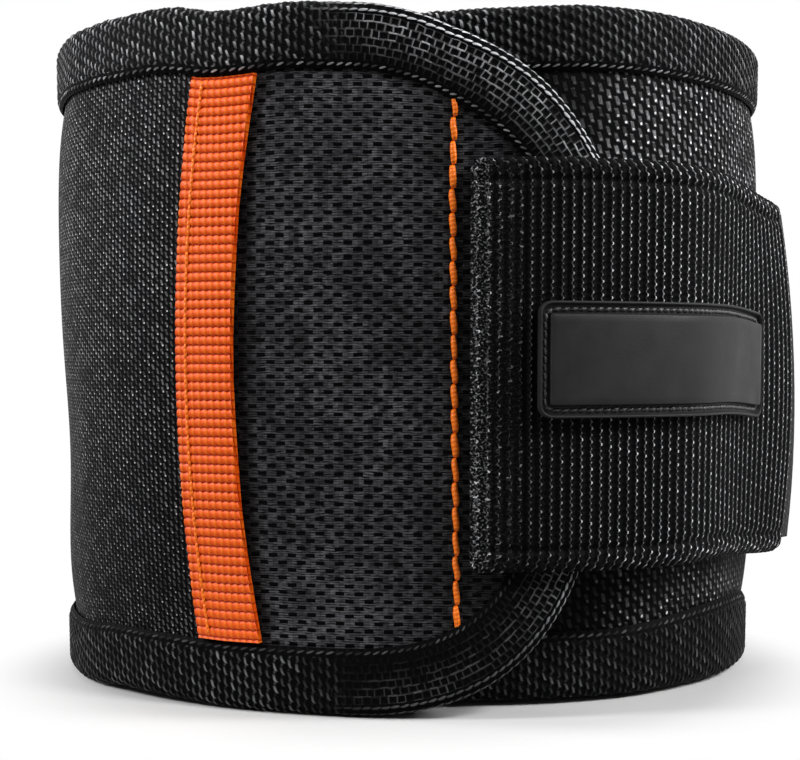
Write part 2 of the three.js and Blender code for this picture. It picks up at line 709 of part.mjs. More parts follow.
// The lower half of a rounded rectangle round its own middle, from left to right
function patchHalfOutline(inset) {
  const halfLength = PATCH_LENGTH / 2 - inset;
  const halfWidth = PATCH_WIDTH / 2 - inset;
  const radius = Math.max(PATCH_CORNER_RADIUS - inset, CLEARANCE);
  const turns = stations(0, Math.PI / 2, Math.PI / (2 * PATCH_CORNER_STEPS));
  const left = turns.map((turn) =>
    flatPlace(
      -halfLength + radius - radius * Math.cos(turn),
      -halfWidth + radius - radius * Math.sin(turn),
    ),
  );
  const right = left.map((place) => flatPlace(-place.x, place.y)).reverse();
  const innerLength = halfLength - radius;
  const sideStep = (2 * innerLength) / PATCH_SIDE_STEPS;
  const side = stations(-innerLength, innerLength, sideStep)
    .slice(1, PATCH_SIDE_STEPS)
    .map((distance) => flatPlace(distance, -halfWidth));
  return [...left, ...side, ...right];
}

// The rubber patch: a raised rim, a groove for its stitches and a raised plain field
function addPatch() {
  const grooveStart = PATCH_RIM_WIDTH + PATCH_EASE;
  const grooveEnd = grooveStart + PATCH_GROOVE_WIDTH;
  const steps = [
    [0, 0],
    [0, PATCH_HEIGHT - PATCH_EASE],
    [PATCH_EASE, PATCH_HEIGHT],
    [PATCH_RIM_WIDTH, PATCH_HEIGHT],
    [grooveStart, PATCH_FLOOR],
    [grooveEnd, PATCH_FLOOR],
    [grooveEnd + PATCH_EASE / 2, PATCH_HEIGHT - PATCH_EASE],
    [grooveEnd + PATCH_EASE, PATCH_HEIGHT],
  ];
  const centre = TAIL_START + PATCH_FROM_HINGE + PATCH_LENGTH / 2;
  const base = -STRAP_THICKNESS - CLEARANCE;
  const loops = steps.map(([inset, rise]) => {
    const half = patchHalfOutline(inset);
    const other = half.map((place) => flatPlace(place.x, -place.y)).reverse();
    return [...half, ...other].map((place) =>
      onStrap(centre + place.x, base - rise, MIDDLE + place.y),
    );
  });
  const size = loops[0].length;
  const cap = [];
  for (let index = 0; index + 1 < size / 2; index += 1) {
    const opposite = size - 1 - index;
    cap.push([index, index + 1, opposite - 1], [index, opposite - 1, opposite]);
  }
  add('rubber_patch', loft(loops, cap, cap), 'rubber');
}

addBand();
addFlap();
addMagnets();
addStrap();
addPatch();

// The model's origin is under the middle of its own box, on the surface that it stands on
const box = new THREE.Box3().setFromObject(wristband);
const centre = box.getCenter(new THREE.Vector3());
wristband.position.set(-centre.x, -centre.y, -box.min.z);
wristband.updateMatrixWorld(true);

export default wristband;
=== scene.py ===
"""The looks of a magnetic wristband for screws and nuts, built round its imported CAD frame.

The fabric layers repeat the lines of the part's source: one strip wound as a spiral, with a
binding folded over its edge and a strap on the flap's tip. Lengths are millimetres up to the
point where a mesh is made; every Blender object is in metres.
"""

import math

import bpy
import numpy as np
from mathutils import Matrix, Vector


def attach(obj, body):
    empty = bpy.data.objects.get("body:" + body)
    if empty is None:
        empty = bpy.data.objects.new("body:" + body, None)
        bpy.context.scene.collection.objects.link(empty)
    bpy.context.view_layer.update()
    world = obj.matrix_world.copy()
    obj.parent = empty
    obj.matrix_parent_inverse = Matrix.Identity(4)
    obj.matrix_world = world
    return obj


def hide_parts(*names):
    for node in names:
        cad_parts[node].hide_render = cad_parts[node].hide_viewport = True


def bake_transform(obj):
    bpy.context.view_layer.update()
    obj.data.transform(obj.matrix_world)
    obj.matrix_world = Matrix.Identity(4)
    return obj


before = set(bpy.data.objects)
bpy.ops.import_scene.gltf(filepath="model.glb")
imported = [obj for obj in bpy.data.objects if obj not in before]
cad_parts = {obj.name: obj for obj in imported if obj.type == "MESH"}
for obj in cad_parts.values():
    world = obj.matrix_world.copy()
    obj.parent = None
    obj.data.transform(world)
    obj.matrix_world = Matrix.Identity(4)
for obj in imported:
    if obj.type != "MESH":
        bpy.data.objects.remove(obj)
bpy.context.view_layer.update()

MM = 0.001

# The lengths of the part's source
BAND_HEIGHT = 90.0
RING_RADIUS = 51.0
CLEARANCE = 0.3
SHELL_THICKNESS = 0.7
CORE_THICKNESS = 2.6
LINING_THICKNESS = 0.8
BINDING_THICKNESS = 0.8
BINDING_WIDTH = 8.7
RING_SHARES = [
    (-16, 1.01), (0, 1.01), (15, 1.01), (25, 1.01), (38, 1.01), (51, 1.0), (65, 0.995),
    (85, 0.99), (100, 0.99), (120, 0.985), (150, 0.97), (180, 0.96), (210, 0.965),
    (240, 0.98), (258, 0.995), (276, 1.008), (296, 1.018), (305, 1.019), (316, 1.012),
    (327, 1.003), (338, 1.0), (350, 1.004), (360, 1.008), (370, 1.01), (380, 1.01),
    (390, 1.01), (402, 1.01),
]
TUCK_SHARES = [
    (-16, 1), (0, 0.98), (15, 0.83), (25, 0.68), (38, 0.52), (51, 0.39), (65, 0.25),
    (85, 0.07), (100, 0), (402, 0),
]
TUCK_DEPTH = 8.5
TIP_LIFT = 2.3
LIFT_SHARES = [(-16, 0), (345, 0), (360, 0.15), (370, 0.56), (380, 0.8), (396, 1), (402, 1)]
HIDDEN_END_RISE = 1.3
RISE_FULL_ANGLE = 40
RISE_NONE_ANGLE = 120
TOP_SPREAD_SHARE = 0.04
SWELL = 1.3
SWELL_SHARES = [
    (-16, 0), (72, 0), (78, 0.5), (84, 1), (280, 1), (290, 0.6), (300, 0), (402, 0),
]
SWELL_POWER = 6
DENT_DEPTH = 1.1
DENT_ANGLE = 272
DENT_ANGLE_REACH = 24
DENT_HEIGHT = 31.0
DENT_HEIGHT_REACH = 15.0
HIDDEN_END_ANGLE = -12
LOOP_PANEL_END_ANGLE = 132
PAD_JOIN_ANGLES = (78, 176)
SEAM_ANGLE = 276
TIP_ANGLE = 389.65
HIDDEN_END_CORNER_RADIUS = 12.0
SEAM_GAP = 0.4
FLAP_BULGE = 2.0
STITCH_LINE_FROM_TIP = 21.75
TIP_TOP_REACH = 40.0
TIP_TOP_POWER = 2.15
TIP_FOOT_REACH = 35.5
TIP_FOOT_POWER = 2.6
TIP_BLEND_SHARE = 0.5
TAPE_WIDTH = 8.8
TAPE_THICKNESS = 0.9
TAPE_EDGE_FROM_TIP = 48.25
TAPE_OVER_FRONT_PANEL = 4.0
STRAP_WIDTH = 51.7
STRAP_THICKNESS = 1.5
STRAP_MIDDLE = 44.4
STRAP_SEWN_LENGTH = 6.0
STRAP_SEWN_FROM_TIP = 14.75
STRAP_END_ANGLE = 85
STRAP_END_CORNER_RADIUS = 4.0
STRAP_FLARE = 5.0
STRAP_END_DROOP = 2.0
STRAP_END_BOW = 1.9
STRAP_END_TWIST = 0.7
STRAP_END_STARTS_ANGLE = 45
STRAP_ANGLES = [8, 14, 20, 26, 32, 38, 45, 53, 60, 66, 72, 78, 82, 85, 89, 93, 98]
DROP_SHARES = [
    (8, 0), (14, -0.03), (20, -0.07), (26, -0.1), (32, -0.085), (38, 0), (45, 0.28),
    (53, 0.62), (60, 0.86), (66, 0.97), (72, 1), (98, 1),
]
FLARE_SHARES = [
    (8, 0), (66, 0), (72, 0.04), (78, 0.17), (82, 0.31), (85, 0.48), (89, 1), (98, 2),
]
HOOK_THICKNESS = 1.2
HOOK_INSET = 1.5
HOOK_START_ANGLE = 54
HOOK_PAST_END = 4.0
HOOK_SKEW = 1.0
PATCH_LENGTH = 45.7
PATCH_WIDTH = 14.6
PATCH_FROM_HINGE = 1.5
PATCH_CORNER_RADIUS = 1.6
RING_CENTRE = (-2.14166, 3.09445)

CORE_DEPTH = SHELL_THICKNESS + CLEARANCE
LINING_DEPTH = CORE_DEPTH + CORE_THICKNESS + CLEARANCE
STACK = LINING_DEPTH + LINING_THICKNESS
PROUD = BINDING_THICKNESS + CLEARANCE
MIDDLE = BAND_HEIGHT / 2
STRAP_SEAT = PROUD + CLEARANCE
HOOK_SEAT = HOOK_THICKNESS + 2 * CLEARANCE

# The fabric's edges wave: how far they stand above their level, at angles round the ring. The
# waves fade out at these heights.
TOP_WAVE = [
    (-16, -1.0), (5, -0.95), (10, -0.6), (17, -0.3), (22, 0), (28, 0.35), (40, 0.4), (50, 0.3),
    (62, 0), (278, 0), (283, 0.5), (294, 0.9), (303, 0.95), (308, 1.2), (312, 1.15),
    (316, 1.3), (319, 1.4), (323, 1.3), (326, 0.8), (329, 0.25), (332, 0.13), (335, 0.25),
    (338, 0.5), (341, 0.6), (344, 0.6), (347, 0.4), (350, 0.25), (354, 0.2), (358, 0),
    (361, -0.2), (365, -0.6), (370, -0.5), (378, 0), (402, 0),
]
FOOT_WAVE = [
    (-16, -0.65), (25, -0.65), (40, -0.85), (60, -0.8), (80, -0.5), (115, 0), (296, 0),
    (303, 0.3), (308, 0.75), (312, 0.75), (316, 0.65), (323, 0.45), (327, 0.2), (332, 0),
    (402, 0),
]
TOP_WAVE_FADES = 55
FOOT_WAVE_FADES = 35

# Mesh steps and rows
MESH_STEP = 1.0
PAD_STEP = 3.0
STRAP_STEP = 0.19
BINDING_STEP = 0.26
FABRIC_ROWS = 91
HOOK_ROWS = 99
STRAP_ROWS = 262
TAPE_ROWS = 610
TAPE_COLUMNS = 86
HIDDEN_FACE_ROWS = 14
PAD_ROWS = 31
CORNER_SHARE = 0.97
CORNER_STEPS = 16
TIP_STEPS = 46
PAD_TIP_SHARE = 0.955
PAD_TIP_STEPS = 24
LINE_STEPS = 240
BISECTIONS = 40

# Pitches and places of the weaves, in millimetres: across and along
LOOP_PITCHES = (1.28, 1.6)
SIDE_FINENESS = 1.6
# Where the loop cloth's painted shade beside the flap's tip turns to painted light and glints
PAINTED_LIGHT_STARTS = 31.0
PAINTED_LIGHT_FULL = 46.0
BALLISTIC_PITCHES = (0.94, 2.5)
BALLISTIC_THREAD = 0.31
NET_PITCHES = (1.0, 1.15)
FLOAT_PITCHES = (1.02, 1.45)
FLOAT_STEP = 1 / 3
FLOAT_SLANT = -0.3
FLOAT_REACH = 0.56
ROPE_PITCHES = (1.05, 1.25)
ROPE_START = 6.9
ROPE_STOP = 9.0
SELVAGE = 1.15
KNOT_PITCHES = (SELVAGE, 1.3)
ZIGZAG_PITCHES = (1.28, 1.7)
ZIGZAG_STEP = 0.19
ZIGZAG_SWAY = 0.11
ZIGZAG_TURN = 2 * math.pi / ZIGZAG_PITCHES[1]
CREASE_LEVEL = STRAP_WIDTH / 2 - 2.8
CREASE_CURL = 0.12
LINING_PITCHES = (1.1, 2.2)
HOOK_PITCHES = (0.7, 1.1)
TAPE_RIB = 1.17
TAPE_YARN_TURN = 2 * math.pi / 0.93
TAPE_YARN_WAVE = 0.05
THREAD_TWIST = 0.55

# The binding's fold, and how deep the yarns stand out
FOLD_RADIUS = 1.7
BINDING_RELIEF = 0.2
BINDING_WIDENS = 0.26
BINDING_WIDE_MARKS = (30, 52, 56, 90)
BINDING_JOIN_ANGLE = 252
TIP_FADE = 20
STRAP_RELIEF = 0.2
STRAP_START_CORNER = 1.6
RIB_STRETCH = 0.6
RIB_STRETCHES_FROM = 22
RIB_STRETCHES_TO = 38

# The tape's bowed edges
TAPE_HALF = MIDDLE - BINDING_WIDTH - CLEARANCE
TAPE_LEFT_OUT = 0.5
TAPE_LEFT_BOW = 2.1
TAPE_RIGHT_OUT = 0.6
TAPE_RIGHT_BOW = 3.1

# Stitches
STITCH_PITCH = 3.08
STITCH_RADIUS = 0.42
STITCH_OFFS = [(-1, -0.5), (0, -0.95), (0.6, -1.2), (1, -0.85)]
LINE_HALF = MIDDLE - BINDING_WIDTH + 0.6
SIDE_STITCH_ANGLE = 272
TAPE_SEAM_INSET = 1.7
TAPE_SEAM_STITCH = 2.0
TAPE_SEAM_LEVELS = np.linspace(-0.985, 0.985, 37)
PATCH_SEAM_INSET = 0.94
PATCH_SEAM_STITCH = 1.05

# The patch's rim, groove and field: inset from its outline, and rise
PATCH_FLOOR = 0.8
PATCH_PROFILE = [
    (0.0, 0.0), (0.02, 1.2), (0.05, 1.42), (0.12, 1.52), (0.2, 1.56),
    (0.28, 1.52), (0.34, 1.4), (0.4, 1.0), (0.48, PATCH_FLOOR), (0.9, PATCH_FLOOR + 0.06),
    (1.36, PATCH_FLOOR), (1.46, 1.1), (1.5, 1.54), (1.56, 1.68), (1.68, 1.74),
    (2.4, 1.77), (4.2, 1.8),
]
PATCH_BASE = STRAP_THICKNESS + CLEARANCE
PATCH_SIDE_STEPS = 60
PATCH_END_STEPS = 16
PATCH_CORNER_STEPS = 12


# ---- lines and surfaces of the part, for arrays of places


def share_at(table, angle):
    rows = np.array(table, float)
    return np.interp(angle, rows[:, 0], rows[:, 1])


def smoothstep(value, low, high):
    share = np.clip((value - low) / (high - low), 0, 1)
    return share * share * (3 - 2 * share)


def run_along(points):
    """The distance along a chain of points, at each point."""
    steps = np.linalg.norm(np.diff(points, axis=0), axis=1)
    return np.concatenate([[0], np.cumsum(steps)])


def hidden_end_radius(angle):
    ring = RING_RADIUS * share_at(RING_SHARES, angle)
    return ring - TUCK_DEPTH * share_at(TUCK_SHARES, angle)


class PlanLine:
    """A smooth plan line through polar points, measured by the distance along it."""

    def __init__(self, angles, radii):
        turn = np.radians(np.array(angles, float))
        points = np.stack([radii * np.sin(turn), -radii * np.cos(turn)], 1)
        before = 2 * points[:1] - points[1:2]
        after = 2 * points[-1:] - points[-2:-1]
        hull = np.concatenate([before, points, after])
        gaps = np.sqrt(np.linalg.norm(np.diff(hull, axis=0), axis=1))
        t = np.linspace(0, 1, LINE_STEPS, endpoint=False)[:, None]
        parts = []
        for k in range(len(points) - 1):
            p0, p1, p2, p3 = hull[k:k + 4]
            g0, g1, g2 = gaps[k:k + 3]
            m1 = ((p1 - p0) / g0 - (p2 - p0) / (g0 + g1) + (p2 - p1) / g1) * g1
            m2 = ((p2 - p1) / g1 - (p3 - p1) / (g1 + g2) + (p3 - p2) / g2) * g1
            cubic = 2 * p1 - 2 * p2 + m1 + m2
            square = -3 * p1 + 3 * p2 - 2 * m1 - m2
            parts.append(p1 + t * m1 + t**2 * square + t**3 * cubic)
        self.points = np.concatenate([*parts, points[-1:]])
        self.run = run_along(self.points)
        slope = np.gradient(self.points, self.run, axis=0)
        self.slope = slope / np.linalg.norm(slope, axis=1, keepdims=True)
        self.angles = np.degrees(np.unwrap(np.arctan2(self.points[:, 0], -self.points[:, 1])))

    def at(self, angle):
        return float(np.interp(angle, self.angles, self.run))

    def place(self, distance, depth):
        distance = np.clip(distance, 0, self.run[-1])
        x, y, ahead_x, ahead_y = (
            np.interp(distance, self.run, values) for values in (*self.points.T, *self.slope.T)
        )
        return x - depth * ahead_y, y + depth * ahead_x


def spread(x, y, z):
    """Wider at the top than at the foot, then from the ring's centre to the row frame."""
    x = x * (1 + TOP_SPREAD_SHARE * (z / BAND_HEIGHT - 0.5))
    return np.stack([x + RING_CENTRE[0], y + RING_CENTRE[1], z + 0 * x], -1)


ring_angles = [row[0] for row in RING_SHARES]
band_line = PlanLine(
    ring_angles, hidden_end_radius(ring_angles) + TIP_LIFT * share_at(LIFT_SHARES, ring_angles)
)
HIDDEN_END = band_line.at(HIDDEN_END_ANGLE)
SEAM = band_line.at(SEAM_ANGLE)
TIP = band_line.at(TIP_ANGLE)
ROUND_START = TIP - (TIP_TOP_REACH + TIP_FOOT_REACH) / 2
STITCH_LINE = TIP - STITCH_LINE_FROM_TIP
RISE_FULL = band_line.at(RISE_FULL_ANGLE)
RISE_NONE = band_line.at(RISE_NONE_ANGLE)
TAPE_EDGE = TIP - TAPE_EDGE_FROM_TIP
PANEL_JOIN = TAPE_EDGE - TAPE_OVER_FRONT_PANEL
SHELL_SPLIT = band_line.at(LOOP_PANEL_END_ANGLE)
BINDING_JOIN = band_line.at(BINDING_JOIN_ANGLE)
DENT_PLACE = band_line.at(DENT_ANGLE)
DENT_REACH = band_line.at(DENT_ANGLE + DENT_ANGLE_REACH) - DENT_PLACE


def by_distance(table):
    return [(band_line.at(angle), value) for angle, value in table]


top_wave, foot_wave, swell_places = map(by_distance, (TOP_WAVE, FOOT_WAVE, SWELL_SHARES))


def wave_at(distance, height):
    top = share_at(top_wave, distance) * smoothstep(height, TOP_WAVE_FADES, BAND_HEIGHT)
    return top + share_at(foot_wave, distance) * (1 - smoothstep(height, 0, FOOT_WAVE_FADES))


def on_band(distance, depth, height):
    distance, depth, height = np.broadcast_arrays(distance, depth, height)
    along = np.clip((distance - SEAM) / (STITCH_LINE - SEAM), 0, 1)
    across = height / MIDDLE - 1
    bulge = FLAP_BULGE * np.sin(np.pi * along) ** 2 * (1 - across**2)
    rise = HIDDEN_END_RISE * (1 - smoothstep(distance, RISE_FULL, RISE_NONE))
    x, y = band_line.place(distance, depth - bulge)
    return spread(x, y, height + rise + wave_at(distance, height))


def swell_at(distance, height):
    """How far the outer panels stand out over the padding."""
    across = np.minimum(1, np.abs(height - MIDDLE) / (MIDDLE - BINDING_WIDTH))
    full = SWELL * share_at(swell_places, distance) * (1 - across**SWELL_POWER)
    aside = (distance - DENT_PLACE) / DENT_REACH
    above = (height - DENT_HEIGHT) / DENT_HEIGHT_REACH
    return np.maximum(0, full - DENT_DEPTH * np.exp(-(aside**2) - above**2))


def on_swell(distance, depth, height):
    return on_band(distance, depth - swell_at(distance, height), height)


def strap_radius(angle):
    turned = np.array(angle, float) + 360
    ring = RING_RADIUS * share_at(RING_SHARES, turned)
    over_flap = ring + TIP_LIFT * share_at(LIFT_SHARES, turned) + STRAP_SEAT
    over_loops = hidden_end_radius(angle) + HOOK_SEAT
    radius = over_flap + (over_loops - over_flap) * share_at(DROP_SHARES, angle)
    return radius + STRAP_FLARE * share_at(FLARE_SHARES, angle)


strap_line = PlanLine(STRAP_ANGLES, strap_radius(STRAP_ANGLES))
SEWN_TO = TIP - STRAP_SEWN_FROM_TIP
SEWN_FROM = SEWN_TO - STRAP_SEWN_LENGTH
hinge_x, hinge_y, _ = on_band(SEWN_TO, -STRAP_SEAT, STRAP_MIDDLE)
HINGE_ANGLE = math.degrees(math.atan2(hinge_x - RING_CENTRE[0], RING_CENTRE[1] - hinge_y))
TAIL_START = strap_line.at(HINGE_ANGLE) + CLEARANCE
TAIL_END = strap_line.at(STRAP_END_ANGLE)
TAIL_LOOSENS = strap_line.at(STRAP_END_STARTS_ANGLE)
TAIL_RUN = STRAP_SEWN_LENGTH + CLEARANCE + TAIL_END - TAIL_START
PATCH_CENTRE = TAIL_START + PATCH_FROM_HINGE + PATCH_LENGTH / 2


def on_strap(distance, depth, height):
    distance, depth, height = np.broadcast_arrays(distance, depth, height)
    share = smoothstep(distance, TAIL_LOOSENS, TAIL_END)
    level = (height - STRAP_MIDDLE) / (STRAP_WIDTH / 2)
    loose = STRAP_END_BOW * (1 - level**2) - STRAP_END_TWIST * level
    x, y = strap_line.place(distance, depth - share**2 * loose)
    return spread(x, y, height - STRAP_END_DROOP * share)


def on_strap_way(run, depth, height):
    """The strap by its run from the sewn end: on the flap first, then along the tail."""
    sewn = STRAP_SEWN_LENGTH
    on_flap = on_band(SEWN_FROM + run, -STRAP_SEAT + depth, height)
    on_tail = on_strap(TAIL_START + run - sewn - CLEARANCE, depth, height)
    share = smoothstep(run, sewn - 0.6, sewn + 0.6)[..., None]
    return on_flap * (1 - share) + on_tail * share


def round_drop(radius, short):
    """How far a round corner falls short of its edge, a way in from where it starts."""
    short = np.clip(short, 0, radius)
    return radius - np.sqrt(radius**2 - short**2)


def tip_reach(level, inset):
    """How far the flap's tip reaches past where its edge turns, at a level from -1 to 1."""
    share = smoothstep(level, -TIP_BLEND_SHARE, TIP_BLEND_SHARE)
    reach = TIP_FOOT_REACH + (TIP_TOP_REACH - TIP_FOOT_REACH) * share - inset
    power = TIP_FOOT_POWER + (TIP_TOP_POWER - TIP_FOOT_POWER) * share
    return reach * (1 - np.abs(level) ** power) ** (1 / power)


def tip_level(distance, inset, side):
    """The level at which the flap's edge crosses each distance, above or below the middle."""
    past = distance - ROUND_START
    inner = np.zeros_like(past)
    outer = np.full_like(past, side)
    for _ in range(BISECTIONS):
        middle = (inner + outer) / 2
        is_inside = tip_reach(middle, inset) > past
        inner = np.where(is_inside, middle, inner)
        outer = np.where(is_inside, outer, middle)
    return np.where(past > 0, outer, side)


# The lower and upper edge of each sheet, at an array of distances


def flap_edges(distance):
    half = MIDDLE - PROUD
    return [MIDDLE + half * tip_level(distance, PROUD, side) for side in (-1.0, 1.0)]


def band_edges(distance):
    radius = HIDDEN_END_CORNER_RADIUS - PROUD
    short = round_drop(radius, HIDDEN_END + HIDDEN_END_CORNER_RADIUS - distance)
    return PROUD + short, BAND_HEIGHT - PROUD - short


def tape_edges(distance):
    return np.full_like(distance, MIDDLE - TAPE_HALF), np.full_like(distance, MIDDLE + TAPE_HALF)


def hook_edges(distance):
    half = np.full_like(distance, STRAP_WIDTH / 2 - HOOK_INSET)
    return STRAP_MIDDLE - half, STRAP_MIDDLE + half


def strap_edges(run):
    short_end = round_drop(STRAP_END_CORNER_RADIUS, run - (TAIL_RUN - STRAP_END_CORNER_RADIUS))
    short_start = round_drop(STRAP_START_CORNER, STRAP_START_CORNER - run)
    half = STRAP_WIDTH / 2 - short_end - short_start
    return STRAP_MIDDLE - half, STRAP_MIDDLE + half


# ---- meshes


def make_object(name, points, faces, material, places=None, sharp_edges=None):
    mesh = bpy.data.meshes.new(name)
    mesh.from_pydata((np.asarray(points) * MM).tolist(), [], faces)
    mesh.polygons.foreach_set("use_smooth", np.ones(len(mesh.polygons), bool))
    if places is not None:
        attribute = mesh.attributes.new("place", "FLOAT_VECTOR", "POINT")
        attribute.data.foreach_set("vector", np.asarray(places, np.float32).ravel())
    mesh.materials.append(material)
    mesh.update()
    made = bpy.data.objects.new(name, mesh)
    bpy.context.scene.collection.objects.link(made)
    if sharp_edges is not None:
        mesh.set_sharp_from_angle(angle=math.radians(sharp_edges))
    return made


def tube(index):
    """The quads between closed rings of point numbers."""
    turned = np.roll(index, -1, 1)
    quads = np.stack([index[:-1], index[1:], turned[1:], turned[:-1]], -1)
    return quads.reshape(-1, 4).tolist()


def zip_faces(first, second):
    """Triangles between two chains of points that run the same way."""
    faces = []
    a = b = 0
    last_a, last_b = len(first) - 1, len(second) - 1
    while a < last_a or b < last_b:
        step_a = (a + 1) / last_a if a < last_a else 2
        step_b = (b + 1) / last_b if b < last_b else 2
        if step_a <= step_b:
            faces.append((first[a], first[a + 1], second[b]))
            a += 1
        else:
            faces.append((first[a], second[b + 1], second[b]))
            b += 1
    return faces


def solid(name, rings, places, split, material, sharp_edges=50):
    """A closed solid through equal closed rings. At both ends, the ring's first split points
    are joined to the rest by triangles."""
    index = np.arange(rings[..., 0].size).reshape(rings.shape[:2])
    faces = tube(index)
    faces += zip_faces(index[0, :split].tolist(), index[0, split:][::-1].tolist())
    end = zip_faces(index[-1, :split].tolist(), index[-1, split:][::-1].tolist())
    faces += [face[::-1] for face in end]
    return make_object(
        name, rings.reshape(-1, 3), faces, material, places.reshape(-1, 3), sharp_edges
    )


def even(start, stop, step):
    return np.linspace(start, stop, max(2, int(math.ceil(abs(stop - start) / step)) + 1))


def eased(count):
    """Levels from -1 to 1 that close in on both ends, for a rounded edge."""
    return np.sin(np.linspace(-np.pi / 2, np.pi / 2, count))


def layer(name, surface, distances, edges, outer, inner, material, rows=FABRIC_ROWS,
          face="outer", relief=None, shift=None, along=None):
    """A sheet of fabric on a surface, from its outer to its inner depth, with its fine rows on
    the face that shows."""
    counts = (rows, HIDDEN_FACE_ROWS) if face == "outer" else (HIDDEN_FACE_ROWS, rows)
    levels = np.concatenate([np.linspace(-1, 1, counts[0]), np.linspace(1, -1, counts[1])])
    low, high = (edge[:, None] for edge in edges(distances))
    s = np.repeat(distances[:, None], len(levels), 1)
    z = low + (high - low) * (levels + 1) / 2
    if shift is not None:
        s = s + shift(s, levels)
    is_outer = np.arange(len(levels)) < counts[0]
    top = outer if relief is None else outer - relief(s, z)
    depth = np.where(is_outer, top, inner(s) if callable(inner) else inner)
    lane = np.where(is_outer, 0.0, 1.0)
    places = np.stack(np.broadcast_arrays(s if along is None else along(s), z, lane), -1)
    return solid(name, surface(s, depth, z), places, counts[0], material)


# ---- material graphs

GLOSS = 0.02


def operation(name, turned=False):
    """A field's method that makes one math node."""
    def apply(field, *others):
        return field.graph.math(name, *others, field) if turned else (
            field.graph.math(name, field, *others))
    return apply


class Field:
    """A value in a graph. Sums, products and functions of fields make math nodes."""

    def __init__(self, graph, socket):
        self.graph = graph
        self.socket = socket

    __add__ = __radd__ = operation("ADD")
    __mul__ = __rmul__ = operation("MULTIPLY")
    __sub__ = operation("SUBTRACT")
    __rsub__ = operation("SUBTRACT", turned=True)
    __truediv__ = operation("DIVIDE")
    __abs__ = operation("ABSOLUTE")
    floor = operation("FLOOR")
    fract = operation("FRACT")
    sine = operation("SINE")
    cosine = operation("COSINE")
    root = operation("SQRT")
    most = operation("MAXIMUM")

    def squared(self):
        return self * self

    def grown(self, least, most):
        """A random number turned into many low values and few high ones."""
        return self.squared() * most + least

    def ramp(self, low, high, start=0.0, stop=1.0, smooth=True):
        values = dict(enumerate((self, low, high, start, stop)))
        kind = "SMOOTHSTEP" if smooth else "LINEAR"
        return self.graph.node("MapRange", values, interpolation_type=kind)


class Graph:
    """A short way to write the nodes of a material or of the world."""

    def __init__(self, owner):
        self.owner = owner
        owner.use_nodes = True
        self.tree = owner.node_tree
        self.tree.nodes.clear()

    def node(self, kind, inputs, output=0, **settings):
        """A node's output, with its settings made and its inputs fed."""
        made = self.tree.nodes.new("ShaderNode" + kind)
        for key, value in settings.items():
            setattr(made, key, value)
        for key, value in inputs.items():
            if isinstance(value, Field):
                self.tree.links.new(value.socket, made.inputs[key])
            else:
                made.inputs[key].default_value = value
        return Field(self, made.outputs[output]) if len(made.outputs) else None

    def math(self, name, *values):
        return self.node("Math", dict(enumerate(values)), operation=name)

    def mix(self, share, a, b):
        return self.node("Mix", {0: share, 6: a, 7: b}, 2, data_type="RGBA")

    def combine(self, *parts):
        return self.node("CombineXYZ", dict(enumerate(parts)))

    def parts(self, vector):
        first = self.node("SeparateXYZ", {0: vector})
        return [Field(self, socket) for socket in first.socket.node.outputs]

    def noise(self, place, scale=1.0, detail=2.0):
        """Noise at a vector, or at the two or three values that make one."""
        vector = self.combine(*place) if isinstance(place, tuple) else place
        return self.node("TexNoise", {"Vector": vector, "Scale": scale, "Detail": detail})

    def cloud(self, s, z, scale, low, high):
        """Wide lighter and darker patches."""
        return self.noise((s, z), scale).ramp(0.35, 0.65, low, high)

    def place(self):
        """The distance along, the height and the lane of a fabric point, in millimetres."""
        return self.parts(self.node("Attribute", {}, "Vector", attribute_name="place"))

    def object_place(self):
        """An object point in millimetres, for what doesn't follow the fabric."""
        point = self.node("TexCoord", {}, "Object")
        return self.node("VectorMath", {0: point, "Scale": 1 / MM}, operation="SCALE")

    def painted_foot_shade(self):
        """Painted shade: the fabric's lighter threads fade towards the foot."""
        return self.parts(self.object_place())[2].ramp(0.0, 70.0, 0.42, 1.0)

    def lattice(self, across, along, pitches, step=0.5):
        """Cells in columns, as in the mesh: places round a cell's middle, and its number."""
        run = across / pitches[0]
        column = run.floor()
        aside = (run - column - 0.5) * pitches[0]
        way = along / pitches[1] + column * step
        cell = way.floor()
        part = (way - cell - 0.5) * pitches[1]
        return aside, part, self.node("TexWhiteNoise", {0: self.combine(column, cell)})

    def spot(self, aside, part, reach, slant=0.0):
        """1 in the middle of an oval, 0 at its reach and beyond."""
        aside = aside - part * slant
        far = (aside / reach[0]).squared() + (part / reach[1]).squared()
        return (1.0 - far).most(0.0)

    def wobbled(self, u, v, scale, amount):
        """Two ways with the same slight waviness."""
        wobble = (self.noise((u, v), scale, 1.0) - 0.5) * amount
        return u + wobble, v + wobble

    def seen(self, unseen, seen):
        """One value for light that falls on the object, and one for what a ray shows."""
        rays = self.node("LightPath", {}).socket.node.outputs
        camera, glossy, through = (
            Field(self, rays[f"Is {kind} Ray"]) for kind in ("Camera", "Glossy", "Transmission"))
        return camera.most(glossy).most(through).ramp(0.0, 1.0, unseen, seen, smooth=False)

    def finish(self, colour, roughness, height, bump, gloss=0.5, metallic=0.0):
        normal = self.node("Bump", {"Height": height, "Distance": bump * MM, "Strength": 1.0})
        shader = self.node("BsdfPrincipled", {
            "Base Color": colour, "Roughness": roughness, "Normal": normal,
            "Specular IOR Level": gloss, "Metallic": metallic})
        self.node("OutputMaterial", {0: shader})
        return self.owner

    def cloth(self, share, bright, fibre, height, bump, rough=(0.5, 0.7), gloss=GLOSS):
        """Deep black cloth with shares of a bright grey, which in the loop, ballistic, webbing and
        binding cloths paints the yarns' highlights.
        """
        colour = self.mix(share, DEEP, bright)
        return self.finish(colour, fibre.ramp(0.3, 0.8, *rough), height, bump, gloss)


def material_graph(name):
    return Graph(bpy.data.materials.new(name))


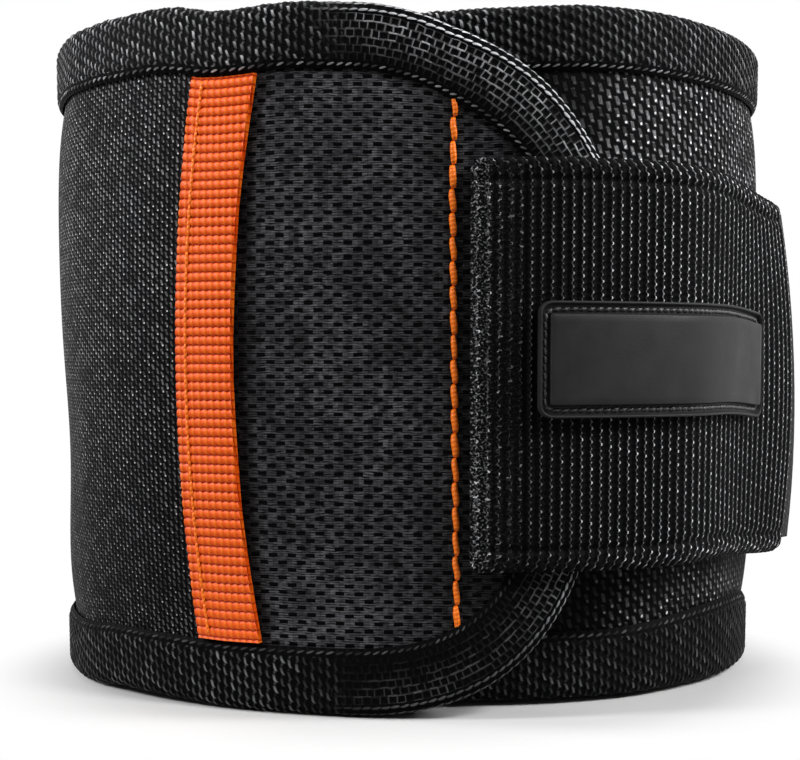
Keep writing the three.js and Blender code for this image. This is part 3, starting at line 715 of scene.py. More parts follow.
def srgb(red, green, blue):
    """The linear colour of an sRGB one in 0 to 255."""
    def linear(value):
        value = value / 255
        return value / 12.92 if value <= 0.04045 else ((value + 0.055) / 1.055) ** 2.4
    return (linear(red), linear(green), linear(blue), 1.0)


DEEP = srgb(3, 3, 4)


def loop_material(name, fineness):
    """A dense basket weave of slanted grey yarn blocks with bright points, over dark gaps. The grey
    is a painted highlight and the points are painted glints.
    """
    graph = material_graph(name)
    s, z, _ = graph.place()
    u, v = graph.wobbled(s * fineness, z * fineness, 0.9, 0.3)
    aside, part, number = graph.lattice(u, v, LOOP_PITCHES)
    leaning = abs(aside + part * 0.34)
    block = leaning.ramp(0.16, 0.4, 1.0, 0.0) * abs(part).ramp(0.48, 0.7, 1.0, 0.0)
    # Painted glints: a small bright point at one corner of each yarn block
    point = graph.spot(aside - 0.15, part + 0.34, (0.2, 0.2))
    other = graph.lattice(u + 31.0, v + 0.3, LOOP_PITCHES)[2]
    fibre = graph.noise((u * 5.0, v * 4.0), detail=3.0)
    # Painted light and shade: dark next to the flap's tip, where its shadow falls, brightest just
    # past it, with the glints strongest there
    front = s.ramp(PAINTED_LIGHT_STARTS, PAINTED_LIGHT_FULL, 0.1, 1.0) * (
        s.ramp(PAINTED_LIGHT_FULL, PAINTED_LIGHT_FULL + 30.0, 1.5, 1.0))
    point = point.ramp(0.0, 0.5) * number.grown(0.04, 0.9)
    grey = fibre.ramp(0.3, 0.7, 0.3, 1.0) * other.grown(0.06, 0.26)
    share = (block * grey + point * front) * graph.cloud(s, z, 0.1, 0.85, 1.1)
    # The painted light and shade by place, and painted shade towards the foot
    share = share * front.ramp(0.1, 1.4, 0.2, 1.35) * graph.painted_foot_shade()
    relief = block.most(point) * 0.7 + fibre * 0.4
    return graph.cloth(share, srgb(225, 225, 228), fibre, relief, 0.12)


def ballistic_material():
    """Coarse basket weave: short dark warp cells between light bars of thin weft threads, whose
    grey is a painted highlight.
    """
    graph = material_graph("ballistic cloth")
    s, z, _ = graph.place()
    u, v = graph.wobbled(s, z, 0.5, 0.2)
    aside, part, _ = graph.lattice(v, u, BALLISTIC_PITCHES)
    cell = abs(aside).ramp(0.2, 0.3, 1.0, 0.0) * abs(part).ramp(0.5, 0.66, 1.0, 0.0)
    bar_aside, _, bar_number = graph.lattice(
        u, v, (BALLISTIC_PITCHES[1] / 2, 2 * BALLISTIC_PITCHES[0]))
    thread = (v * (2 * math.pi / BALLISTIC_THREAD)).cosine()
    streak = graph.noise((u * 0.9, v * 5.0))
    bar = streak.ramp(0.25, 0.75, 0.05, 0.95) + thread * 0.2
    bar = bar * (bar_number * 0.6 + 0.45) * abs(bar_aside).ramp(0.5, 0.62, 1.0, 0.7)
    share = bar.most(0.0) * cell.ramp(0.0, 1.0, 1.0, 0.0)
    # Painted shade: darker towards the stitch line, and a dark band along the tape's right edge
    painted_shade = s.ramp(STITCH_LINE - 12.0, STITCH_LINE + 1.0, 1.0, 0.5) * (
        s.ramp(TAPE_EDGE - 1.5, TAPE_EDGE + 2.0, 0.3, 1.0))
    share = share * graph.cloud(s, z, 0.06, 0.75, 1.15) * painted_shade
    relief = cell * -0.6 + thread * 0.1
    return graph.cloth(share, srgb(98, 98, 101), streak, relief, 0.14, (0.5, 0.65))


def webbing_material():
    """Ribs across the strap, each with a thin bright zigzag yarn, a painted highlight, and a fuzzy
    sewn end.
    """
    graph = material_graph("webbing")
    s, z, _ = graph.place()
    sewn = s.ramp(STRAP_SEWN_LENGTH - 0.6, STRAP_SEWN_LENGTH + 0.8, 1.0, 0.0)
    loose = (graph.noise((s, z), 1.6) - 0.5) * sewn.ramp(0.0, 1.0, 0.16, 1.5)
    inset = abs(z - STRAP_MIDDLE) - CREASE_LEVEL
    u = s + loose + inset.most(0.0).squared() * CREASE_CURL
    aside, part, number = graph.lattice(u, z, ZIGZAG_PITCHES, ZIGZAG_STEP)
    turn = part * ZIGZAG_TURN
    wave = (turn * 2.0).cosine() + turn.cosine() * 0.35
    line = abs(aside - wave * ZIGZAG_SWAY).ramp(0.03, 0.13, 1.0, 0.0)
    faint = graph.cloud(u, z, 0.9, 0.02, 0.15)
    share = line * (faint + wave.ramp(0.3, 1.0) * (number * 0.75 + 0.2))
    # Painted shade: the ribs are darker near the sewn end and get lighter along the strap
    near = s.ramp(STRAP_SEWN_LENGTH, STRAP_SEWN_LENGTH + 12.0, 0.45, 1.1)
    share = share * graph.mix(sewn, near, s.ramp(0.8, 4.4, 1.5, 0.3))
    # Painted shade in the crease along each edge
    share = share * abs(inset).ramp(0.1, 0.5, 0.3, 1.0)
    fuzz = graph.noise((s * 3.4, z * 3.4), detail=3.0).ramp(0.52, 0.74, 0.0, 0.5)
    fuzz = fuzz * s.ramp(0.9, 2.7, 1.0, 0.04) * sewn
    share = (share * graph.cloud(s, z, 0.09, 0.7, 1.15)).most(fuzz)
    fibre = graph.noise((u * 4.0, z * 7.0), detail=3.0)
    # Painted light: the ribs are brighter further along the strap
    share = share * s.ramp(16.0, 30.0, 1.0, 1.4)
    share = share + fibre.ramp(0.45, 0.9) * s.ramp(14.0, 28.0, 0.026, 0.004)
    return graph.cloth(share, srgb(215, 215, 218), fibre, line * 0.5 + fibre * 0.25, 0.16)


def binding_material():
    """Slanted yarn floats, a looped selvage at both free edges, and round the flap's tip,
    where the tape is pulled open, a fine net with a rope along the fold."""
    graph = material_graph("binding")
    e, w, tip = graph.place()
    x, _, height = graph.parts(graph.object_place())
    u, v = graph.wobbled(e, w, 0.8, 0.32)

    # The floats: thin slanted yarns whose upper ends curl aside, their grey a painted highlight
    aside, part, number = graph.lattice(u, v, FLOAT_PITCHES, FLOAT_STEP)
    end = (part - FLOAT_REACH * 0.25).most(0.0)
    line = abs(aside - part * FLOAT_SLANT + end.squared() * 0.7).ramp(0.09, 0.23, 1.0, 0.0)
    line = line * abs(part).ramp(FLOAT_REACH - 0.16, FLOAT_REACH, 1.0, 0.0)
    line = line * part.ramp(-0.55, 0.25, 0.3, 1.0) * number.grown(0.13, 0.5)
    low_aside, low_part, low_number = graph.lattice(u, v + 0.85, FLOAT_PITCHES, FLOAT_STEP)
    woven = line.most(graph.spot(low_aside, low_part, (0.24, 0.3), 0.3) * (low_number * 0.16))

    # The net and its rope, their grey a painted highlight, with painted shade at the foot
    row, cell, number = graph.lattice(v, u, NET_PITCHES)
    mark = graph.lattice(u, v, NET_PITCHES[::-1])[2]
    net = (abs(row).ramp(0.33, 0.45) * mark.grown(0.04, 0.8)).most(
        abs(cell).ramp(0.4, 0.52) * number.grown(0.04, 0.6))
    net = net * v.ramp(1.5, 7.0, 0.1, 1.0)
    aside, part, number = graph.lattice(v - ROPE_START, u, ROPE_PITCHES)
    rope = graph.spot(aside, part, (0.19, 0.7), 0.12) * (number * 0.6 + 0.4)
    is_rope = v.ramp(ROPE_START, ROPE_START + 0.1) * v.ramp(ROPE_STOP - 0.1, ROPE_STOP, 1.0, 0.0)
    net = graph.mix(is_rope, net, rope.ramp(0.0, 0.4) * 0.8) * height.ramp(5.0, 20.0, 0.25, 1.0)

    # Painted shade: the floats are darker in the strap's shadow and behind the flap's tip
    under = x.ramp(0.0, 10.0) * height.ramp(10.0, 16.0, 1.0, 0.0)
    behind = x.ramp(4.0, 11.0, 1.0, 0.3) + x.ramp(20.0, 34.0, 0.0, 0.45)
    woven = woven * under.ramp(0.0, 1.0, 1.0, 0.45)
    woven = woven * behind.most(1.0 - height.ramp(60.0, 70.0))
    patchy = (graph.noise((e, w), 0.5) - 0.5) * 0.7
    cloth = graph.mix((tip + patchy).ramp(0.3, 0.7), woven, net)
    cloth = cloth * (1.0 - tip * (1.0 - tip) * 2.8)

    aside, part, number = graph.lattice(w, e, KNOT_PITCHES, 0.0)
    knot = graph.spot(aside, part, (0.15, 0.55), 0.3).ramp(0.0, 0.5) * number.grown(0.06, 0.5)
    # Painted shade: the selvage knots are darker towards the foot
    knot = knot * height.ramp(10.0, 60.0, 0.4, 1.0)
    share = graph.mix(w.ramp(SELVAGE - 0.05, SELVAGE + 0.05), knot, cloth)
    fibre = graph.noise((u * 5.0, v * 5.0), detail=3.0)
    # With painted shade towards the foot over the whole binding
    share = share * graph.cloud(e, w, 0.08, 0.75, 1.15) * graph.painted_foot_shade()
    share = share + fibre.ramp(0.45, 0.85) * 0.008
    # The bright grey paints the yarns' highlights
    return graph.cloth(share, srgb(225, 225, 228), fibre, share + fibre * 0.25, 0.14)


def open_knit(name, bright, pitches, reach, bump, gloss):
    """A plain fabric of oval yarn crowns, on its inner face."""
    graph = material_graph(name)
    s, z, lane = graph.place()
    aside, part, number = graph.lattice(s, z, pitches)
    crown = graph.spot(aside, part, reach)
    fibre = graph.noise((s * 4.0, z * 4.0))
    share = crown.ramp(0.0, 0.8) * (number * 0.5 + 0.5) * lane
    return graph.cloth(share, bright, fibre, crown + fibre * 0.3, bump, gloss=gloss)


def orange_cloth():
    """Ribs across the tape, with a darker groove between them, a painted shade, and a lighter
    crown, a painted highlight.
    """
    graph = material_graph("orange webbing")
    s, z, lane = graph.place()
    turn = s * TAPE_YARN_TURN
    run = (z + turn.sine() * TAPE_YARN_WAVE) / TAPE_RIB
    groove = abs(run.fract() - 0.5).ramp(0.34, 0.5)
    yarn = turn.cosine()
    fibre = graph.noise((s * 2.5, z * 12.0, lane))
    tint = graph.mix(fibre.ramp(0.3, 0.8), srgb(228, 74, 2), srgb(245, 103, 6))
    # Painted highlight on each rib's crown, and painted shade in the groove between ribs
    crown = yarn.ramp(-0.2, 1.0) * groove.ramp(0.0, 0.6, 0.34, 0.0)
    tint = graph.mix(crown, tint, srgb(255, 140, 30))
    colour = graph.mix(groove, tint, srgb(170, 48, 4))
    relief = yarn * 0.12 + fibre * 0.2
    return graph.finish(colour, fibre.ramp(0.2, 0.9, 0.4, 0.6), relief, 0.12, 0.25)


def thread_material(name, dark, light):
    graph = material_graph(name)
    s, z, lane = graph.place()
    twist = ((z + s) * (2 * math.pi / THREAD_TWIST)).sine()
    fibre = graph.noise((s * 6.0, z * 6.0, lane))
    relief = twist * 0.4 + fibre
    # The colour follows the relief: lighter on the twist's raised plies and fibres and darker in
    # its grooves, a painted highlight and shade
    colour = graph.mix(relief.ramp(-0.4, 1.2), dark, light)
    return graph.finish(colour, fibre.ramp(0.2, 0.9, 0.3, 0.5), relief, 0.05, 0.3)


def rubber_material():
    graph = material_graph("patch rubber")
    place = graph.object_place()
    grain = graph.noise(place, 5.0, 3.0)
    cloud = graph.noise(place, 0.25)
    colour = graph.mix(cloud.ramp(0.3, 0.7), srgb(29, 29, 30), srgb(35, 35, 36))
    return graph.finish(colour, (grain + cloud).ramp(0.6, 1.4, 0.42, 0.58), grain, 0.02, 0.13)


def plain_material(name, dark, light, rough, scale, bump=0.05, metallic=0.0):
    graph = material_graph(name)
    grain = graph.noise(graph.object_place(), scale, 3.0)
    colour = graph.mix(grain.ramp(0.3, 0.7), dark, light)
    return graph.finish(colour, grain.ramp(0.3, 0.7, *rough), grain, bump, metallic=metallic)


loop_cloth = loop_material("loop cloth", 1.0)
side_cloth = loop_material("side cloth", SIDE_FINENESS)
ballistic_cloth = ballistic_material()
webbing_cloth = webbing_material()
lining_cloth = open_knit("spacer mesh", srgb(44, 44, 46), LINING_PITCHES, (0.5, 0.9), 0.3, GLOSS)
hook_cloth = open_knit("hook tape", srgb(96, 96, 100), HOOK_PITCHES, (0.24, 0.3), 0.5, 0.3)
binding_cloth = binding_material()
orange_webbing = orange_cloth()
orange_thread = thread_material("orange thread", srgb(232, 92, 6), srgb(255, 134, 24))
black_thread = thread_material("black thread", srgb(8, 8, 9), srgb(70, 70, 72))
patch_rubber = rubber_material()
foam = plain_material("foam", srgb(30, 30, 33), srgb(54, 54, 58), (0.85, 0.95), 2.5, 0.3)
carrier_plastic = plain_material(
    "carrier plastic", srgb(84, 88, 94), srgb(96, 100, 106), (0.5, 0.65), 1.2
)
magnet_nickel = plain_material(
    "nickel", srgb(176, 178, 182), srgb(196, 198, 200), (0.2, 0.32), 0.8, 0.01, 1.0
)


# ---- fabric layers


def hidden_end_distances(stop, step=MESH_STEP):
    radius = HIDDEN_END_CORNER_RADIUS - PROUD
    centre = HIDDEN_END + HIDDEN_END_CORNER_RADIUS
    turn = np.linspace(math.asin(CORNER_SHARE), 0, CORNER_STEPS)[:-1]
    return np.concatenate([centre - radius * np.sin(turn), even(centre, stop, step)])


def tip_distances(start):
    turn = np.linspace(0, CORNER_SHARE * np.pi / 2, TIP_STEPS)[1:]
    reach = TIP - ROUND_START - PROUD
    return np.concatenate([
        even(start, ROUND_START, MESH_STEP), ROUND_START + reach * np.sin(turn)])


gap = SEAM_GAP / 2
split = SHELL_SPLIT - gap
right_distances = hidden_end_distances(split)
loop_shell = layer("loop_shell", on_swell, right_distances, band_edges, 0, SHELL_THICKNESS,
                   loop_cloth)
wrap_shell = layer("wrap_shell", on_swell, even(split, PANEL_JOIN - gap, MESH_STEP), band_edges,
                   0, SHELL_THICKNESS, side_cloth)
front_shell = layer("front_shell", on_band, tip_distances(PANEL_JOIN + gap), flap_edges, 0,
                    SHELL_THICKNESS, ballistic_cloth)
lining_right = layer("lining_right", on_band, right_distances, band_edges, LINING_DEPTH, STACK,
                     lining_cloth, face="inner")
lining_wrap = layer("lining_wrap", on_band, tip_distances(split), flap_edges, LINING_DEPTH,
                    STACK, lining_cloth, face="inner")


# ---- the binding, folded over the strip's edge


def lattice(across, along, pitches, step=0.5):
    """Cells in columns: millimetres from a cell's middle, across and along."""
    column = np.floor(across / pitches[0])
    way = along / pitches[1] + column * step
    return (across - (column + 0.5) * pitches[0],
            (way - np.floor(way) - 0.5) * pitches[1])


def spot(cell, reach, slant=0.0):
    """1 in the middle of an oval, 0 at its reach and beyond."""
    aside, part = cell
    far = ((aside - slant * part) / reach[0]) ** 2 + (part / reach[1]) ** 2
    return np.clip(1 - far, 0, 1)


def ridge(distance, width):
    """1 at no distance, fading over a width on both sides."""
    return np.exp(-((distance / width) ** 2))


def binding_section():
    """The folded tape's outside and inside, as points of inset from the edge and depth, with
    the distance across the tape of each outside point."""
    top = -PROUD
    bottom = STACK + PROUD
    radius = FOLD_RADIUS
    face = np.linspace(BINDING_WIDTH, radius, 26)
    turn = np.linspace(0, np.pi / 2, 10)[1:]
    back = np.linspace(radius, BINDING_WIDTH, 15)[1:]
    side = np.linspace(top + radius, bottom - radius, 14)[1:-1]
    sine, cosine = radius * (1 - np.sin(turn)), radius * (1 - np.cos(turn))
    outside = np.concatenate([np.stack(pair, 1) for pair in (
        (face, np.full_like(face, top)),
        (sine, top + cosine),
        (np.zeros_like(side), side),
        (cosine, bottom - sine),
        (back, np.full_like(back, bottom)),
    )])
    thick = BINDING_THICKNESS
    under, above = top + thick, bottom - thick
    inside = np.array([
        [BINDING_WIDTH, above], [BINDING_WIDTH / 2, above], [thick + 1, above],
        [thick, above - 1], [thick, under + 1],
        [thick + 1, under], [BINDING_WIDTH / 2, under], [BINDING_WIDTH, under],
    ])
    return outside, inside, run_along(outside)


def binding_relief(e, w, whole, tip):
    """Yarn floats, selvage loops and ropes that stand out of the tape, all below its face."""
    floats = spot(lattice(e, w, FLOAT_PITCHES, FLOAT_STEP), (0.48, 0.7), FLOAT_SLANT)
    aside, part = lattice(w, e, NET_PITCHES)
    net = np.maximum(smoothstep(np.abs(aside), 0.2, 0.42), smoothstep(np.abs(part), 0.2, 0.46))
    ropes = spot(lattice(w - ROPE_START, e, ROPE_PITCHES), (0.5, 0.9))
    is_rope = (w > ROPE_START) & (w < ROPE_STOP)
    cloth = floats * (1 - tip) + np.where(is_rope, ropes * 1.6, 0.6 * net) * tip
    ends = np.minimum(w, whole - w)
    knots = spot(lattice(ends, e, KNOT_PITCHES, 0.0), (0.6, 0.7))
    relief = np.where(ends < SELVAGE, knots, cloth)
    return BINDING_RELIEF * (relief - 1.0) - 0.5 * ridge(ends, 0.8)


def binding(name, edge, tip_ends=None, wide_marks=None):
    """A binding swept along the strip's edge: places in the flat strip, clockwise. tip_ends
    holds the two places along it between which it goes round the flap's tip, and wide_marks
    those where it gets wider and narrower again."""
    outside, inside, width = binding_section()
    slope = np.gradient(edge, axis=0)
    slope /= np.linalg.norm(slope, axis=1, keepdims=True)
    run = run_along(edge)
    tangent = np.gradient(outside, axis=0)
    tangent /= np.linalg.norm(tangent, axis=1, keepdims=True)
    tip = np.zeros(len(run))
    if tip_ends is not None:
        tip = smoothstep(run, tip_ends[0], tip_ends[0] + TIP_FADE)
        tip = tip * (1 - smoothstep(run, tip_ends[1] - TIP_FADE, tip_ends[1]))
    wider = np.ones(len(run))
    if wide_marks is not None:
        wider += BINDING_WIDENS * smoothstep(run, *wide_marks[:2])
        wider -= BINDING_WIDENS * smoothstep(run, *wide_marks[2:])
    amount = binding_relief(run[:, None], width, width[-1], tip[:, None])
    wider = wider[:, None]
    inset = np.concatenate([
        outside[:, 0] * wider - tangent[:, 1] * amount, inside[:, 0] * wider], 1)
    depth = np.concatenate([
        outside[:, 1] + tangent[:, 0] * amount, inside[:, 1] + 0 * wider], 1)
    s = edge[:, 0, None] + slope[:, 1, None] * inset
    z = edge[:, 1, None] - slope[:, 0, None] * inset
    across = np.concatenate([width, np.linspace(width[-1], 0, len(inside))])
    places = np.stack(np.broadcast_arrays(run[:, None], across, tip[:, None]), -1)
    return solid(name, on_band(s, depth, z), places, len(outside), binding_cloth)


def straight(start, stop, height):
    s = even(start, stop, BINDING_STEP)
    return np.stack([s, np.full_like(s, height)], 1)


def arc(centre, radius, first, last):
    """Part of a circle in the flat strip: angles are counted from straight up, clockwise."""
    turn = np.linspace(first, last, max(3, int(abs(last - first) * radius / BINDING_STEP)))
    return np.stack([
        centre[0] + radius * np.sin(turn), centre[1] + radius * np.cos(turn)
    ], 1)[1:-1]


def tip_curve():
    """The flap's round edge from its top to its foot, in even steps."""
    level = np.cos(np.linspace(0, np.pi, 4001))
    points = np.stack([ROUND_START + tip_reach(level, 0), MIDDLE + MIDDLE * level], 1)
    run = run_along(points)
    marks = even(0, run[-1], BINDING_STEP)[1:-1]
    return np.stack([np.interp(marks, run, points[:, k]) for k in (0, 1)], 1)


def hidden_edge():
    """The edge of the band's right part, from its foot round the hidden end to its top."""
    radius = HIDDEN_END_CORNER_RADIUS
    corner = HIDDEN_END + radius
    rise = even(radius, BAND_HEIGHT - radius, BINDING_STEP)
    return np.concatenate([
        straight(SHELL_SPLIT, corner, 0),
        arc((corner, radius), radius, np.pi, 1.5 * np.pi),
        np.stack([np.full_like(rise, HIDDEN_END), rise], 1),
        arc((corner, BAND_HEIGHT - radius), radius, 1.5 * np.pi, 2 * np.pi),
        straight(corner, SHELL_SPLIT, BAND_HEIGHT),
    ])


flap_curve = tip_curve()
flap_edge = np.concatenate([
    straight(BINDING_JOIN, ROUND_START, BAND_HEIGHT), flap_curve,
    straight(ROUND_START, BINDING_JOIN, 0),
])
curve_run = BINDING_STEP * len(flap_curve)
tip_starts = ROUND_START - BINDING_JOIN - TIP_FADE / 2
binding_right = binding("binding_right", hidden_edge(), wide_marks=BINDING_WIDE_MARKS)
binding_back_top = binding(
    "binding_back_top", straight(SHELL_SPLIT, BINDING_JOIN, BAND_HEIGHT))
binding_back_foot = binding("binding_back_foot", straight(BINDING_JOIN, SHELL_SPLIT, 0))
binding_flap = binding(
    "binding_flap", flap_edge, tip_ends=(tip_starts, tip_starts + TIP_FADE + curve_run))


# ---- the orange tape with its ribs


def rib_height(s, z):
    wave = TAPE_YARN_WAVE * np.sin(TAPE_YARN_TURN * s)
    part = np.mod((z + wave) / TAPE_RIB, 1) - 0.5
    rib = np.sqrt(np.clip(1 - (2 * part) ** 2, 0, 1))
    yarn = 0.5 + 0.5 * np.cos(TAPE_YARN_TURN * s)
    return 0.34 * rib + 0.05 * yarn * rib - 0.3


def tape_shift(s, level):
    """The bow of the tape's two edges, from left to right."""
    share = (s - TAPE_EDGE) / TAPE_WIDTH + 1
    out = TAPE_LEFT_OUT + (TAPE_RIGHT_OUT - TAPE_LEFT_OUT) * share
    bow = TAPE_LEFT_BOW + (TAPE_RIGHT_BOW - TAPE_LEFT_BOW) * share
    scallop = np.abs(np.cos(np.pi * TAPE_HALF * level / TAPE_RIB))
    return out - bow * (1 - level**2) - 0.14 * (1 - scallop) * share**10


tape = layer("tape", on_band, np.linspace(TAPE_EDGE - TAPE_WIDTH, TAPE_EDGE, TAPE_COLUMNS),
             tape_edges, -CLEARANCE - TAPE_THICKNESS, -CLEARANCE, orange_webbing, TAPE_ROWS,
             relief=rib_height, shift=tape_shift)


# ---- stitches


def stitches(name, centres, material, length, radius, sway, lift, seed, surface=on_band,
             base=0.0, sides=10, steps=14, tilt=0.0, overlap=0.06):
    """A line of thread beads: centres holds the distance and the height of each gap between
    two beads, and each bead runs from one gap to the next."""
    rng = np.random.default_rng(seed)
    turn = np.linspace(0, 2 * np.pi, sides, endpoint=False)
    t = np.linspace(0, 1, steps)
    arch = np.sin(np.pi * t)
    body = np.clip(arch, 0, 1) ** 0.32
    reach = (-overlap + (1 + 2 * overlap) * t)[:, None]
    up = (base + lift * body - 0.45 * radius)[:, None]
    index = np.arange(steps * sides).reshape(steps, sides)
    round_thread = turn / (2 * np.pi) * THREAD_TWIST
    place = np.stack(np.broadcast_arrays(round_thread, t[:, None] * length, 0.0), -1)
    points, faces = [], []
    for start, stop in zip(centres[:-1], centres[1:]):
        flat = stop - start
        ahead = flat / np.linalg.norm(flat)
        aside = np.array([ahead[1], -ahead[0]])
        bend = sway * (1 + 0.25 * rng.standard_normal()) * np.sin(2 * np.pi * t)
        bend = bend + sway * 0.4 * rng.standard_normal() * arch + tilt * (0.5 - t)
        swell = radius * (1 + 0.08 * rng.standard_normal()) * (0.35 + 0.65 * body)[:, None]
        middle = start + flat * reach + bend[:, None] * aside
        ring = middle[:, None] + (swell * np.cos(turn))[..., None] * aside
        depth = -(up + swell * 0.85 * np.sin(turn))
        numbers = index + len(points) * steps * sides
        points.append(surface(ring[..., 0], depth, ring[..., 1]).reshape(-1, 3))
        faces += tube(numbers) + [numbers[0].tolist(), numbers[-1][::-1].tolist()]
    places = np.tile(place.reshape(-1, 3), (len(points), 1))
    return make_object(name, np.concatenate(points), faces, material, places)


def vertical_line(distance):
    low, high = MIDDLE - LINE_HALF, MIDDLE + LINE_HALF
    heights = np.linspace(low, high, round((high - low) / STITCH_PITCH) + 1)
    return np.stack([
        distance + share_at(STITCH_OFFS, (heights - MIDDLE) / LINE_HALF), heights], 1)


front_stitches = stitches("front_stitches", vertical_line(STITCH_LINE), orange_thread,
                          STITCH_PITCH, STITCH_RADIUS, 0.05, 0.42, 3, tilt=0.16, overlap=0.01)
side_stitches = stitches(
    "side_stitches", vertical_line(band_line.at(SIDE_STITCH_ANGLE)), orange_thread,
    STITCH_PITCH, STITCH_RADIUS * 0.8, 0.1, 0.36, 5, surface=on_swell, tilt=0.3, overlap=-0.01)
tape_seam = TAPE_EDGE - TAPE_WIDTH + TAPE_SEAM_INSET
tape_seam_line = np.stack([
    tape_seam + tape_shift(tape_seam, TAPE_SEAM_LEVELS), MIDDLE + TAPE_HALF * TAPE_SEAM_LEVELS,
], 1)
tape_stitches = stitches("tape_stitches", tape_seam_line, orange_thread, TAPE_SEAM_STITCH, 0.2,
                         0.02, 0.16, 7, base=CLEARANCE + TAPE_THICKNESS - 0.02)


# ---- the strap, one webbing from its sewn end to its free end, and its hook strip


def rib_run(run):
    """The run in even ribs: the elastic webbing is stretched, and its ribs wider, past the
    flap's edge."""
    marks = np.linspace(0, 90, 901)
    stretch = 1 + RIB_STRETCH * smoothstep(marks, RIB_STRETCHES_FROM, RIB_STRETCHES_TO)
    return np.interp(run, marks, np.concatenate([[0], np.cumsum(0.1 / stretch[1:])]))


def webbing_relief(run, z):
    """Zigzag yarns over the webbing, a crease along each edge, a groove where the sewn end
    stops, and edges that turn down."""
    aside, part = lattice(rib_run(run), z, ZIGZAG_PITCHES, ZIGZAG_STEP)
    turn = ZIGZAG_TURN * part
    wave = ZIGZAG_SWAY * (np.cos(2 * turn) + 0.35 * np.cos(turn))
    crown = np.clip(1 - ((aside - wave) / 0.55) ** 2, 0, 1)
    level = np.abs(z - STRAP_MIDDLE)
    dips = 0.32 * ridge(level - CREASE_LEVEL, 0.5)
    dips = dips + 0.25 * ridge(run - STRAP_SEWN_LENGTH - 0.4, 0.45) + 0.6 * ridge(run, 0.5)
    edge = np.maximum(ridge(level - STRAP_WIDTH / 2, 0.35), ridge(run - TAIL_RUN, 0.4))
    return STRAP_RELIEF * (crown - 1.0) - dips - 0.45 * edge


def strap_inner(run):
    """The sewn end reaches down to the flap's front panel, and rises onto its binding."""
    third = STRAP_SEWN_LENGTH / 3
    return (STRAP_SEAT - CLEARANCE) * (1 - smoothstep(run, third, 2 * third))


corner = TAIL_RUN - STRAP_END_CORNER_RADIUS
strap_runs = np.concatenate([
    STRAP_START_CORNER * (1 - np.sin(np.linspace(math.asin(CORNER_SHARE), 0, 8)[:-1])),
    even(STRAP_START_CORNER, corner, STRAP_STEP),
    corner + STRAP_END_CORNER_RADIUS * (
        np.sin(np.linspace(0, math.asin(CORNER_SHARE), CORNER_STEPS)[1:])),
])
strap = layer("strap", on_strap_way, strap_runs, strap_edges, -STRAP_THICKNESS, strap_inner,
              webbing_cloth, STRAP_ROWS, relief=webbing_relief, along=rib_run)
hook_start = strap_line.at(HOOK_START_ANGLE)
hook_stop = TAIL_END + HOOK_PAST_END
hook_sheet = layer("hook_sheet", on_strap, even(hook_start, hook_stop, MESH_STEP / 2),
                   hook_edges, CLEARANCE, CLEARANCE + HOOK_THICKNESS, hook_cloth, HOOK_ROWS,
                   face="inner", shift=lambda s, level: -HOOK_SKEW * level)


# ---- the rubber patch: rim, groove and raised field


def rounded_outline(inset, side_steps, corner_steps, end_steps):
    """A rounded rectangle round its own middle, counter-clockwise from the left of its foot."""
    radius = max(PATCH_CORNER_RADIUS - inset, CLEARANCE)
    long_half = PATCH_LENGTH / 2 - 0.8 * inset - radius
    short_half = PATCH_WIDTH / 2 - 1.1 * inset - radius
    turn = np.linspace(0, np.pi / 2, corner_steps + 1)[:, None]
    parts = []
    for x, y in ((1, 0), (0, 1), (-1, 0), (0, -1)):
        ahead, out = np.array([x, y]), np.array([y, -x])
        steps, half, far = (side_steps, long_half, short_half) if x else (
            end_steps, short_half, long_half)
        along = np.linspace(-half, half, steps + 1)[1:-1, None]
        parts.append(along * ahead + (far + radius) * out)
        round_corner = radius * (np.sin(turn) * ahead + np.cos(turn) * out)
        parts.append(half * ahead + far * out + round_corner)
    return np.concatenate(parts)


def patch_lid(ring):
    """The faces inside a ring of the patch: strips from its foot to its top, and both ends."""
    corner_points = PATCH_CORNER_STEPS + 1
    long = PATCH_SIDE_STEPS - 1 + 2 * corner_points
    short = PATCH_END_STEPS - 1
    ring = np.roll(ring, corner_points)
    foot, right, top, left = np.split(ring, np.cumsum([long, short, long]))
    top = top[::-1]
    strips = np.stack([foot[:-1], foot[1:], top[1:], top[:-1]], -1).tolist()
    ends = [[foot[-1], *right, top[-1]], [top[0], *left, foot[0]]]
    return strips + [[int(number) for number in face] for face in ends]


def patch_piece():
    rings = []
    for inset, rise in PATCH_PROFILE:
        outline = rounded_outline(inset, PATCH_SIDE_STEPS, PATCH_CORNER_STEPS, PATCH_END_STEPS)
        rings.append(on_strap(PATCH_CENTRE + outline[:, 0], -PATCH_BASE - rise,
                              MIDDLE + outline[:, 1]))
    rings = np.array(rings)
    index = np.arange(rings[..., 0].size).reshape(rings.shape[:2])
    faces = [[a, b, c, d] for a, d, c, b in tube(index)] + patch_lid(index[-1])
    faces += [face[::-1] for face in patch_lid(index[0])]
    return make_object("patch", rings.reshape(-1, 3), faces, patch_rubber, sharp_edges=60)


def patch_stitch_piece():
    outline = rounded_outline(PATCH_SEAM_INSET, 200, 10, 60)
    closed = np.concatenate([outline, outline[:1]])
    run = run_along(closed)
    marks = np.linspace(0, run[-1], round(run[-1] / PATCH_SEAM_STITCH) + 1)
    line = np.stack([
        PATCH_CENTRE + np.interp(marks, run, closed[:, 0]),
        MIDDLE + np.interp(marks, run, closed[:, 1]),
    ], 1)
    return stitches("patch_stitches", line, black_thread, PATCH_SEAM_STITCH, 0.3, 0.05, 0.2, 9,
                    surface=on_strap, base=PATCH_BASE + PATCH_FLOOR - 0.02, sides=8, steps=8)


patch = patch_piece()
patch_stitches = patch_stitch_piece()


# ---- padding inside, crowned between its edges


